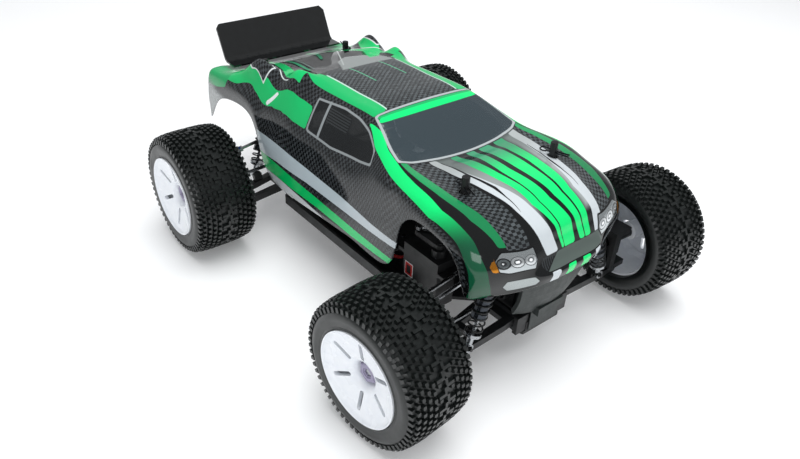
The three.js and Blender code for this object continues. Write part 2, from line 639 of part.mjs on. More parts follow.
const axleRadius = 3
const axleEnd = kingpinInset + 16
function stubAxle(toe) {
  const geometry = fuse([
    rod(mm(0, 5, 0), mm(0, kingpinInset - 7, 0), 5, 12),
    rod(mm(0, 6, 0), mm(0, axleEnd, 0), axleRadius, 12),
  ])
  return geometry.rotateZ(-toe).translate(0, kingpinY, 0)
}

const ballBore = 5.2
const cupInside = 3.5 // how far the drive cup runs outboard of the kingpin
function cupCut() {
  return rod(mm(0, kingpinY - 12, 0), mm(0, kingpinY + cupInside, 0), ballBore, 12)
}

function knuckleGeometry(toe) {
  const half = carrierTop - 0.6
  const z = hubPivotZ + tieRise
  const arm = bar(0, kingpinY, -steerArm, kingpinY, 3.2, z - 2.2, z + 2.2)
  return fuse([
    block(-7, 7, kingpinY - 7, kingpinY + 7, -half, half),
    arm,
    stubAxle(toe),
  ], [cupCut()])
}

function rearHubGeometry() {
  return fuse([
    block(-9, 9, kingpinY - 7, kingpinY + 7, carrierBottom, carrierTop + 1),
    upperEar(rearLinkX),
    ...hubFoot(),
    stubAxle(0),
  ], [cupCut()])
}

// a shaft with a ball at each end: one in the gearbox cup, one in the hub cup
function driveShaftGeometry() {
  const from = mm(0, innerPivotY, shaftZ)
  const to = mm(0, kingpinY - 1.5, 0)
  const ball = (at) => new THREE.SphereGeometry(2.9, 8, 6).translate(at.x, at.y, at.z)
  return fuse([rod(from, to, 1.8, 6), ball(from), ball(to)])
}

const collarRadius = 6.6
function shockBodyGeometry() {
  const barrel = turned([
    [2.1, -38], [5.9, -38], [5.9, -33], [5.1, -32.5], [5.1, -13], [collarRadius, -12.5], [collarRadius, -9.5],
    [5.9, -9], [5.9, -4], [3, -2.5], [0.01, -2.5], [0.01, -9], [2.1, -9.5],
  ], 12).rotateX(Math.PI / 2)
  const eye = rod(mm(-shockEyeHalf, 0, 0), mm(shockEyeHalf, 0, 0), 3.7, 10)
  return fuse([barrel, eye], [rod(mm(-4, 0, 0), mm(4, 0, 0), hingePinRadius + gap)])
}

function shockRodGeometry() {
  const foot = -shockLength
  return fuse([
    rod(mm(0, 0, -24), mm(0, 0, foot + 2.6), 1.5, 6),
    rod(mm(0, 0, foot + 11), mm(0, 0, foot + 13.5), collarRadius, 12),
    rod(mm(0, 0, foot + 2.6), mm(0, 0, foot + 11.5), 2.6, 8),
    rod(mm(-shockEyeHalf, 0, foot), mm(shockEyeHalf, 0, foot), 3.7, 10),
  ], [rod(mm(-4, 0, foot), mm(4, 0, foot), hingePinRadius + 0.9)])
}

// ---- wheels: turned about Y, outboard side positive ----
const tyreHalf = tyreWidth / 2
const rimInner = -23.4
const rimOuter = tyreHalf + 0.3
const slotCount = 6
const slotInner = 14 // radius where each slot begins
const slotOuter = 30
const slotHalfWidth = 1.8
// a straight slot with round ends, along the radius
function slotOutline(from, to, half) {
  const points = []
  for (let step = 0; step <= 3; step++) {
    const angle = step * Math.PI / 3
    points.push([half * Math.cos(angle), to - half + half * Math.sin(angle)])
  }
  for (let step = 0; step <= 3; step++) {
    const angle = Math.PI + step * Math.PI / 3
    points.push([half * Math.cos(angle), from + half + half * Math.sin(angle)])
  }
  return outline(points)
}
const rimSegments = 24
function rimGeometry() {
  const wall = 2
  const bore = axleRadius + gap
  const inside = rimRadius - wall
  const disc = turned([
    [bore, -6], [8, -6], [8, 12], [13, 12.5], [14.5, 19.5], [inside, 23.5], [inside, rimInner],
    [rimRadius, rimInner], [rimRadius, rimOuter], [inside + 0.8, rimOuter], [inside - 1, rimOuter - 2.4],
    [12, 22], [10, 14.5], [bore, 14.5],
  ], rimSegments)
  const slots = []
  for (let slot = 0; slot < slotCount; slot++) {
    const shape = slotOutline(slotInner, slotOuter, slotHalfWidth)
    const cutter = plateXY(shape, 12, 32).rotateX(-Math.PI / 2).rotateY(slot * 2 * Math.PI / slotCount)
    slots.push(cutter)
  }
  return fuse([disc], slots)
}

function tyreGeometry() {
  const bead = rimRadius + gap
  const crown = tyreRadius
  return turned([
    [bead, -22.8], [bead + 2, -tyreHalf + 3], [bead + 8, -tyreHalf], [crown - 6, -tyreHalf],
    [crown - 1.5, -tyreHalf + 4], [crown, -tyreHalf + 11], [crown, tyreHalf - 11], [crown - 1.5, tyreHalf - 4],
    [crown - 6, tyreHalf], [bead + 8, tyreHalf], [bead + 1.5, tyreHalf - 0.6], [bead, tyreHalf - 1.2],
  ], 32)
}

for (const [direction, end] of [[1, 'front'], [-1, 'rear']]) {
  for (const [side, word] of [[1, 'left'], [-1, 'right']]) {
    const where = `${end}_${word}`
    const linkX = direction > 0 ? frontLinkX : rearLinkX
    const toe = direction > 0 ? THREE.MathUtils.degToRad(toeIn) : 0
    const corner = new THREE.Group()
    corner.position.x = direction * axleX
    corner.scale.set(direction, side, 1)
    truck.add(corner)

    const arm = part(`lower_arm_${where}`, 'nylon', lowerArmGeometry(), corner)
    arm.position.set(0, innerPivotY, innerPivotZ)
    arm.rotation.x = armSlope

    const upper = part(`upper_link_${where}`, 'steel', linkGeometry(armLength, 1.6), corner)
    upper.position.set(linkX, innerPivotY, innerPivotZ + linkRise)
    upper.rotation.x = armSlope

    if (direction > 0) {
      part(`c_hub_${word}`, 'nylon', carrierGeometry(linkX), corner)
      part(`steering_knuckle_${word}`, 'nylon', knuckleGeometry(toe), corner)
      const tie = part(`tie_rod_${word}`, 'steel', linkGeometry(armLength, 1.6), corner)
      tie.position.set(-steerArm, innerPivotY, innerPivotZ + tieRise)
      tie.rotation.x = armSlope
    } else {
      part(`rear_hub_${word}`, 'nylon', rearHubGeometry(), corner)
    }
    part(`drive_shaft_${where}`, 'steel', driveShaftGeometry(), corner)

    const shock = new THREE.Group()
    shock.position.set(shockX, shockTop.y, shockTop.z)
    shock.rotation.x = shockLean
    part(`shock_body_${where}`, 'alloy', shockBodyGeometry(), shock)
    part(`shock_rod_${where}`, 'steel', shockRodGeometry(), shock)
    corner.add(shock)

    const kingpin = new THREE.Group()
    kingpin.position.y = kingpinY
    kingpin.rotation.z = -toe
    const wheel = new THREE.Group()
    wheel.position.y = kingpinInset
    part(`rim_${where}`, 'rim', rimGeometry(), wheel)
    part(`tyre_${where}`, 'rubber', tyreGeometry(), wheel)
    kingpin.add(wheel)
    corner.add(kingpin)
  }
}

export default truck
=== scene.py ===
import math

import bpy
import numpy as np
from mathutils import Matrix, Vector


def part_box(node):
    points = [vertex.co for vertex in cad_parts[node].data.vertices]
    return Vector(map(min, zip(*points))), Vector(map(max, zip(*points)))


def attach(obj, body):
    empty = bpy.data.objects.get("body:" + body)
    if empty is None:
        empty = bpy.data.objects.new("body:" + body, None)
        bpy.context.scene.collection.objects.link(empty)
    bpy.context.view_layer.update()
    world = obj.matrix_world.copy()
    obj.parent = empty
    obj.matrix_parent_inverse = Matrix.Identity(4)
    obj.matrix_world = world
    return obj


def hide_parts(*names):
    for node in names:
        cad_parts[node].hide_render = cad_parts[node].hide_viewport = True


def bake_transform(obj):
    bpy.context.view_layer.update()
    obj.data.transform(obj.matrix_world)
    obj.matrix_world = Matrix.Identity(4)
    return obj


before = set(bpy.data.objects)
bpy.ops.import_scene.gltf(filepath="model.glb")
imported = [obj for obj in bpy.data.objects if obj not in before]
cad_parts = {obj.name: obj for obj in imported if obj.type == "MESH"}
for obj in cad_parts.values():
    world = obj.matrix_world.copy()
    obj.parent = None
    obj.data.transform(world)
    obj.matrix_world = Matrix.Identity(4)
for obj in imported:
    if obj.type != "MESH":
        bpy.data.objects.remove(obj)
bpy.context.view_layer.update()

mm = 0.001
overhang = 19.9  # the row frame's centre lies this far behind the middle of the wheelbase
axleHeight = 56.0
halfWheelbase = 137.5
toeIn = math.radians(4.5)
kingpinY = 108.0
kingpinInset = 30.5  # kingpin to the middle of the tyre
corners = [
    ("front_left", 1, 1), ("front_right", 1, -1),
    ("rear_left", -1, 1), ("rear_right", -1, -1),
]


# sRGB hex to the linear colour that shaders use
def linear(code):
    values = [int(code[i:i + 2], 16) / 255 for i in (1, 3, 5)]
    return tuple(v / 12.92 if v <= 0.04045 else ((v + 0.055) / 1.055) ** 2.4 for v in values) + (1.0,)


def addNode(tree, kind, inputs=None, **settings):
    made = tree.nodes.new("ShaderNode" + kind)
    for key, value in settings.items():
        setattr(made, key, value)
    for key, value in (inputs or {}).items():
        if isinstance(value, bpy.types.NodeSocket):
            tree.links.new(value, made.inputs[key])
        else:
            made.inputs[key].default_value = value
    return made


def startMaterial(name):
    material = bpy.data.materials.new(name)
    material.use_nodes = True
    tree = material.node_tree
    shader = tree.nodes["Principled BSDF"]
    return material, tree, shader


def math2(tree, operation, a, b=0.0):
    return addNode(tree, "Math", {0: a, 1: b}, operation=operation).outputs[0]


def mixColour(tree, factor, under, over):
    made = addNode(tree, "Mix", {"Factor": factor}, data_type="RGBA")
    for socket, value in ((made.inputs[6], under), (made.inputs[7], over)):
        if isinstance(value, bpy.types.NodeSocket):
            tree.links.new(value, socket)
        else:
            socket.default_value = value
    return made.outputs[2]


# noise over object space, cells of 1/scale metres, mapped to low..high
def speckled(tree, scale, low, high, detail=3.0):
    place = addNode(tree, "TexCoord").outputs["Object"]
    noise = addNode(tree, "TexNoise", {"Vector": place, "Scale": scale, "Detail": detail})
    span = {"Value": noise.outputs["Fac"], "From Min": 0.3, "From Max": 0.7, "To Min": low, "To Max": high}
    return addNode(tree, "MapRange", span).outputs[0]


# one finish: base colour broken up by fine noise, roughness by a coarser one, a slight relief
def plainMaterial(spec):
    material, tree, shader = startMaterial(spec["name"])
    grain = spec["grain"] * mm
    lowColour, highColour = linear(spec["colour"]), linear(spec["worn"])
    blend = speckled(tree, 0.35 / grain, 0.0, 1.0)
    tree.links.new(mixColour(tree, blend, lowColour, highColour), shader.inputs["Base Color"])
    low, high = spec["rough"]
    tree.links.new(speckled(tree, 0.08 / grain, low, high), shader.inputs["Roughness"])
    if spec.get("relief"):
        place = addNode(tree, "TexCoord").outputs["Object"]
        noise = addNode(tree, "TexNoise", {"Vector": place, "Scale": 1 / grain, "Detail": 2.0})
        bump = {"Height": noise.outputs["Fac"], "Strength": spec["relief"], "Distance": 0.15 * mm}
        tree.links.new(addNode(tree, "Bump", bump).outputs[0], shader.inputs["Normal"])
    for key, value in spec.get("set", {}).items():
        shader.inputs[key].default_value = value
    return material


finishes = {}
for spec in [
    # short-fibre filled nylon: a dull, faintly mottled black that catches soft light on its edges
    {"name": "moulded nylon, short fibre", "colour": "#0C0D0E", "worn": "#141617", "grain": 0.6,
     "rough": (0.42, 0.55), "relief": 0.25, "set": {"IOR": 1.53}},
    # chassis deck: pressed composite, slightly greener and duller than the arms
    {"name": "moulded composite deck", "colour": "#101213", "worn": "#181B1C", "grain": 0.9,
     "rough": (0.5, 0.62), "relief": 0.3, "set": {"IOR": 1.52}},
    # bumper skin: charcoal plastic from an etched mould, matt with a fine pebble
    {"name": "etched charcoal plastic", "colour": "#262B2A", "worn": "#333938", "grain": 0.5,
     "rough": (0.45, 0.58), "relief": 0.35, "set": {"IOR": 1.5}},
    # rims: polished white plastic with a cool tint, so the dish shows soft blue-grey shadows
    {"name": "polished white plastic", "colour": "#E6EAF0", "worn": "#EDF0F4", "grain": 2.0,
     "rough": (0.22, 0.3), "set": {"IOR": 1.49, "Coat Weight": 0.25, "Coat Roughness": 0.1}},
    # tyres: carbon-black rubber with a grey-green cast, satin on the flanks
    {"name": "moulded tyre rubber", "colour": "#101313", "worn": "#191D1C", "grain": 0.8,
     "rough": (0.32, 0.42), "relief": 0.2, "set": {"IOR": 1.52}},
    # wing: gloss black moulding, nearly mirror smooth
    {"name": "gloss black moulding", "colour": "#0A0B0C", "worn": "#101213", "grain": 2.0,
     "rough": (0.12, 0.2), "set": {"IOR": 1.53, "Coat Weight": 0.6, "Coat Roughness": 0.05}},
    # battery sleeve: shrink-wrapped film, dark blue with a waxy sheen
    {"name": "shrink film, dark blue", "colour": "#152033", "worn": "#1E2C44", "grain": 1.5,
     "rough": (0.28, 0.4), "relief": 0.2, "set": {"IOR": 1.5}},
    # motor can: drawn steel, black oxide, with a satin band of reflections
    {"name": "drawn steel, black oxide", "colour": "#2A2B2D", "worn": "#3A3C3F", "grain": 0.7,
     "rough": (0.32, 0.42), "set": {"Metallic": 1.0}},
    # speed controller and servo cases: fine-textured ABS
    {"name": "textured ABS case", "colour": "#0F1011", "worn": "#18191B", "grain": 0.5,
     "rough": (0.45, 0.55), "relief": 0.3, "set": {"IOR": 1.53}},
    # gears: natural black acetal, slippery and slightly bright
    {"name": "machined black acetal", "colour": "#0C0D0D", "worn": "#131415", "grain": 0.8,
     "rough": (0.3, 0.4), "set": {"IOR": 1.48}},
    # pins, shafts and turnbuckles: turned and polished steel
    {"name": "turned bright steel", "colour": "#9DA0A3", "worn": "#B4B7BA", "grain": 0.4,
     "rough": (0.2, 0.3), "set": {"Metallic": 1.0}},
    # shock bodies: hard-anodised alloy, charcoal with a soft metal glow
    {"name": "hard-anodised alloy", "colour": "#3A3D42", "worn": "#4A4E54", "grain": 0.6,
     "rough": (0.28, 0.36), "set": {"Metallic": 1.0}},
    # springs: powder-coated spring wire
    {"name": "powder-coated spring wire", "colour": "#0E0F10", "worn": "#1A1C1D", "grain": 0.4,
     "rough": (0.35, 0.45), "relief": 0.2, "set": {"IOR": 1.5}},
    # nuts on the ball studs: dyed anodising
    {"name": "blue-dyed anodising", "colour": "#24489A", "worn": "#3159B0", "grain": 0.5,
     "rough": (0.24, 0.32), "set": {"Metallic": 1.0}},
    # wheel nuts: purple-grey on a part-metal finish, painted shade standing for the rim's dark centre recess
    {"name": "purple-grey anodising", "colour": "#8D87A0", "worn": "#9A94AC", "grain": 0.5,
     "rough": (0.42, 0.5), "set": {"Metallic": 0.3}},
    # screws: blackened hardened steel
    {"name": "blackened screw steel", "colour": "#25272A", "worn": "#33363A", "grain": 0.3,
     "rough": (0.3, 0.38), "set": {"Metallic": 1.0}},
    # plated screws on the guards: zinc with a pale shine
    {"name": "bright zinc plate", "colour": "#B9BBBD", "worn": "#CBCDCF", "grain": 0.3,
     "rough": (0.18, 0.26), "set": {"Metallic": 1.0}},
    # leads: soft silicone insulation
    {"name": "red silicone insulation", "colour": "#8E1A1B", "worn": "#A52123", "grain": 0.6,
     "rough": (0.45, 0.55), "set": {"IOR": 1.43}},
    {"name": "black silicone insulation", "colour": "#121313", "worn": "#1B1C1C", "grain": 0.6,
     "rough": (0.45, 0.55), "set": {"IOR": 1.43}},
    # plug housing: unfilled nylon, milky white
    {"name": "pale nylon housing", "colour": "#D8D9D2", "worn": "#E2E3DC", "grain": 0.4,
     "rough": (0.35, 0.45), "set": {"IOR": 1.53}},
    # label: three layers of printed film, satin
    {"name": "pale label film", "colour": "#D9DADA", "worn": "#E3E4E4", "grain": 0.8,
     "rough": (0.3, 0.4), "set": {"IOR": 1.5}},
    {"name": "red label film", "colour": "#B3201F", "worn": "#C12A28", "grain": 0.8,
     "rough": (0.3, 0.4), "set": {"IOR": 1.5}},
    {"name": "black label film", "colour": "#141415", "worn": "#1C1D1E", "grain": 0.8,
     "rough": (0.3, 0.4), "set": {"IOR": 1.5}},
    # bullet connectors: brass barrels with a bright plate
    {"name": "plated connector brass", "colour": "#C9A659", "worn": "#D9B96C", "grain": 0.4,
     "rough": (0.2, 0.28), "set": {"Metallic": 1.0}},
]:
    finishes[spec["name"]] = plainMaterial(spec)


def makeMesh(name, points, faces, finish, smooth=True, sharp=35):
    mesh = bpy.data.meshes.new(name.replace(" ", "_"))
    mesh.from_pydata([tuple(p) for p in points], [], [tuple(f) for f in faces])
    mesh.materials.append(finishes[finish] if isinstance(finish, str) else finish)
    mesh.validate()
    mesh.shade_smooth() if smooth else mesh.shade_flat()
    if smooth:
        mesh.set_sharp_from_angle(angle=math.radians(sharp))
    thing = bpy.data.objects.new(name.replace(" ", "_"), mesh)
    bpy.context.scene.collection.objects.link(thing)
    return thing


# points and faces of a profile (radius, along y) turned about the y axis, in millimetres
def ringMesh(profile, segments, closed=True):
    count = len(profile)
    points = []
    for k in range(segments):
        angle = 2 * math.pi * k / segments
        for radius, along in profile:
            points.append((radius * math.sin(angle) * mm, along * mm, radius * math.cos(angle) * mm))
    faces = []
    last = count if closed else count - 1
    for k in range(segments):
        a, b = k * count, ((k + 1) % segments) * count
        for i in range(last):
            j = (i + 1) % count
            faces.append((a + i, a + j, b + j, b + i))
    return points, faces


# a matrix at origin whose z axis looks along direction
def frameAlong(origin, direction, turn=0.0):
    spin = Vector(direction).normalized().to_track_quat("Z", "Y").to_matrix().to_4x4()
    return Matrix.Translation(Vector(origin)) @ spin @ Matrix.Rotation(turn, 4, "Z")


# design millimetres, z from the axles, to metres in the row frame
def row(x, y, z):
    return Vector(((x + overhang) * mm, y * mm, (z + axleHeight) * mm))


def orientOutward(thing):
    bpy.context.view_layer.objects.active = thing
    thing.select_set(True)
    bpy.ops.object.mode_set(mode="EDIT")
    bpy.ops.mesh.select_all(action="SELECT")
    bpy.ops.mesh.normals_make_consistent(inside=False)
    bpy.ops.object.mode_set(mode="OBJECT")
    thing.select_set(False)


# a mesh that many pieces share
def patternMesh(name, points, faces, finish, sharp):
    model = makeMesh(name, points, faces, finish, sharp=sharp)
    orientOutward(model)
    mesh = model.data
    bpy.data.objects.remove(model)
    return mesh


print("stage: finishes on the CAD pieces")
finishOfSlot = {
    "composite": "moulded composite deck",
    "bumper_plastic": "etched charcoal plastic",
    "battery_wrap": "shrink film, dark blue",
    "motor_can": "drawn steel, black oxide",
    "electronics_case": "textured ABS case",
    "rim_plastic": "polished white plastic",
    "tyre_rubber": "moulded tyre rubber",
    "gear_plastic": "machined black acetal",
    "steel": "turned bright steel",
    "anodised_alloy": "hard-anodised alloy",
    "nylon": "moulded nylon, short fibre",
    "wing_plastic": "gloss black moulding",
}
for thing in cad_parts.values():
    old = thing.data.materials[0].name if thing.data.materials else ""
    for slotName, finish in finishOfSlot.items():
        if old.startswith(slotName):
            thing.data.materials[0] = finishes[finish]
            break


# the same surface as the CAD skin, drawn fine, with the livery masked on it
print("stage: painted shell")
shell = {
    "rows": {
        # centre line to sill, x y z in millimetres; z from the ground
        "lipBottom": [(178, 0, 95), (177, 25, 95), (168, 46, 90), (159, 63, 88), (154, 72, 87),
                      (151, 77, 87), (148, 79, 88)],
        "lipTop": [(179, 0, 102), (178, 26, 102), (170, 45, 101), (163, 65, 102), (157, 76, 101),
                   (152, 81, 99), (146, 82, 100)],
        "grilleBottom": [(173, 0, 107), (173, 25, 107), (170, 42, 110), (162, 68, 112), (155, 78, 111),
                         (148, 82, 109), (142, 82, 109)],
        "grilleTop": [(167, 0, 120), (167, 28, 120), (166, 43, 120), (156, 70, 122), (148, 79, 120),
                      (141, 82, 117), (136, 82, 116)],
        "hoodEdge": [(162, 0, 131), (161, 28, 131), (158, 46, 129), (147, 68, 131), (139, 78, 128),
                     (131, 82, 123), (127, 82, 121)],
        "hoodFront": [(142, 0, 143.5), (141, 28, 143), (136, 48, 139), (127, 67, 138.5), (120, 77, 134),
                      (113, 82, 127), (110, 82, 124)],
        "hoodMiddle": [(107, 0, 147), (107, 28, 146), (107, 48, 142), (102, 66, 142.5), (98, 77, 139),
                       (94, 82, 130), (92, 82, 123)],
        "doorFront": [(84, 0, 146), (83, 29, 145.5), (80, 50, 143), (76, 66, 143.5), (76, 77, 138),
                      (78, 82, 125), (81, 82, 113)],
        "screenBase": [(66, 0, 143), (64, 30, 143.5), (58, 52, 144), (50, 66, 144), (54, 77, 131),
                       (60, 82, 105), (65, 81, 67)],
        "screenTop": [(6, 0, 164), (6, 25, 163.5), (6, 41, 162.5), (6, 51, 160), (10, 71, 132),
                      (12, 81, 104), (14, 81, 64)],
        "roofMiddle": [(-35, 0, 165), (-35, 25, 164.5), (-35, 40, 163), (-34, 51, 159.5), (-30, 72, 131),
                       (-30, 81, 103), (-30, 81, 61)],
        "roofRear": [(-75, 0, 164.5), (-75, 25, 164), (-75, 38, 163), (-76, 50, 159.5), (-72, 72, 130),
                     (-72, 81, 101), (-72, 81, 58)],
        "firstHump": [(-98, 0, 161), (-98, 25, 161), (-98, 44, 160.5), (-98, 54, 165), (-96, 70, 137),
                      (-100, 80, 102), (-100, 80, 57)],
        "notch": [(-120, 0, 156), (-120, 27, 156), (-119, 46, 154.5), (-118, 58, 153), (-117, 72, 134),
                  (-119, 80, 104), (-121, 80, 66)],
        "secondHump": [(-150, 0, 149), (-150, 29, 149), (-150, 52, 150), (-150, 62.5, 160), (-148, 73, 136),
                       (-145, 80, 124), (-144, 80, 110)],
        "deckRear": [(-178, 0, 140), (-178, 30, 140), (-178, 53, 139), (-178, 65, 141), (-178, 74, 135),
                     (-181, 80, 124), (-182, 80, 112)],
        "tailFront": [(-200, 0, 131.5), (-202, 31, 131.5), (-204, 54, 130.5), (-205, 66, 131),
                      (-206, 76, 129), (-207, 80, 118), (-208, 80, 102)],
        "tailEdge": [(-216, 0, 129), (-218, 31, 129), (-223, 54, 128.5), (-226, 67, 129), (-228, 76, 126),
                     (-229, 80, 105), (-228, 80, 77)],
    },
    "wall": 1.2,
    "postHoles": [(107, 47), (107, -47), (-170, 46.5), (-170, -46.5)],
    "holeRadius": 4.2,
    "holeCut": 3.2,  # skin nearer a post than this is left out
    "holePull": 5.4,  # and out to here it is drawn in to a round edge
}


# a centripetal curve through the knots, knots along the first axis
def throughPoints(knots, stepsPerSpan):
    knots = np.asarray(knots, float)
    count = len(knots)
    result = []
    for i in range(count - 1):
        x1, x2 = knots[i], knots[i + 1]
        x0 = knots[i - 1] if i else 2 * knots[0] - knots[1]
        x3 = knots[i + 2] if i + 2 < count else 2 * knots[-1] - knots[-2]

        def gap(a, b):
            return np.maximum(np.sum((a - b) ** 2, axis=-1, keepdims=True), 1e-9) ** 0.25

        d0, d1, d2 = gap(x0, x1), gap(x1, x2), gap(x2, x3)
        d0 = np.where(d0 < 1e-3, d1, d0)
        d2 = np.where(d2 < 1e-3, d1, d2)
        t1 = ((x1 - x0) / d0 - (x2 - x0) / (d0 + d1) + (x2 - x1) / d1) * d1
        t2 = ((x2 - x1) / d1 - (x3 - x1) / (d1 + d2) + (x3 - x2) / d2) * d1
        a = 2 * x1 - 2 * x2 + t1 + t2
        b = -3 * x1 + 3 * x2 - 2 * t1 - t2
        for step in range(stepsPerSpan):
            w = step / stepsPerSpan
            result.append(x1 + t1 * w + b * w * w + a * w ** 3)
    result.append(knots[-1])
    return np.array(result)


halves = np.array(list(shell["rows"].values()), float)
mirrored = halves[:, :0:-1] * np.array([1, -1, 1])
net = np.concatenate([mirrored, halves], axis=1)  # 18 rows of 13 points, right sill to left sill
alongSteps, acrossSteps = ((14, 12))
surface = throughPoints(net, alongSteps)
surface = throughPoints(np.swapaxes(surface, 0, 1), acrossSteps)
surface = np.swapaxes(surface, 0, 1)
rowCount, columnCount = surface.shape[:2]
middle = columnCount // 2
spacing = np.linalg.norm(np.diff(surface[:, middle], axis=0), axis=1)
alongNose = np.concatenate([[0], np.cumsum(spacing)])
side = np.linalg.norm(np.diff(surface, axis=1), axis=2)
fromRight = np.concatenate([np.zeros((rowCount, 1)), np.cumsum(side, axis=1)], axis=1)
fromCentre = fromRight - fromRight[:, middle:middle + 1]
along = np.repeat(alongNose[:, None], columnCount, axis=1).ravel()
across = fromCentre.ravel()

# The livery is masked like a real one: each layer is laid over the last, in millimetres along the skin.
# First number runs back from the nose lip, second runs out from the centre line; right is negative.
# A stripe gives (along, one edge, other edge); a panel gives its outline. "both" lays it on each side.
green, deepGreen = "#04E276", "#0F5236"
lampSpots = {"outer": 61.5, "middle": 50.5, "inner": 39.5}
lampRings = [
    # radius, colour and whether it is bright plate, from the outer lamp to the inner
    ("bezel", [(5.8, "#1C1F20", False), (6.0, "#34383A", False), (5.6, "#4A4F51", False)]),
    ("dish", [(4.4, "#7E8587", True), (5.2, "#DADEE0", True), (4.8, "#DADEE0", True)]),
    ("cap", [(2.6, "#26292B", False), (3.1, "#6F7577", True), (2.8, "#8A9092", True)]),
    ("bulb", [(1.3, "#E3E6E8", False), (1.9, "#F1F3F5", False), (1.6, "#F1F3F5", False)]),
]
lampLayers = [
    {"name": f"lamp {ring} {spot}", "both": True, "disc": (23, out, radius), "colour": colour,
     "chrome": bright}
    for ring, rows in lampRings
    for (spot, out), (radius, colour, bright) in zip(lampSpots.items(), rows)
]
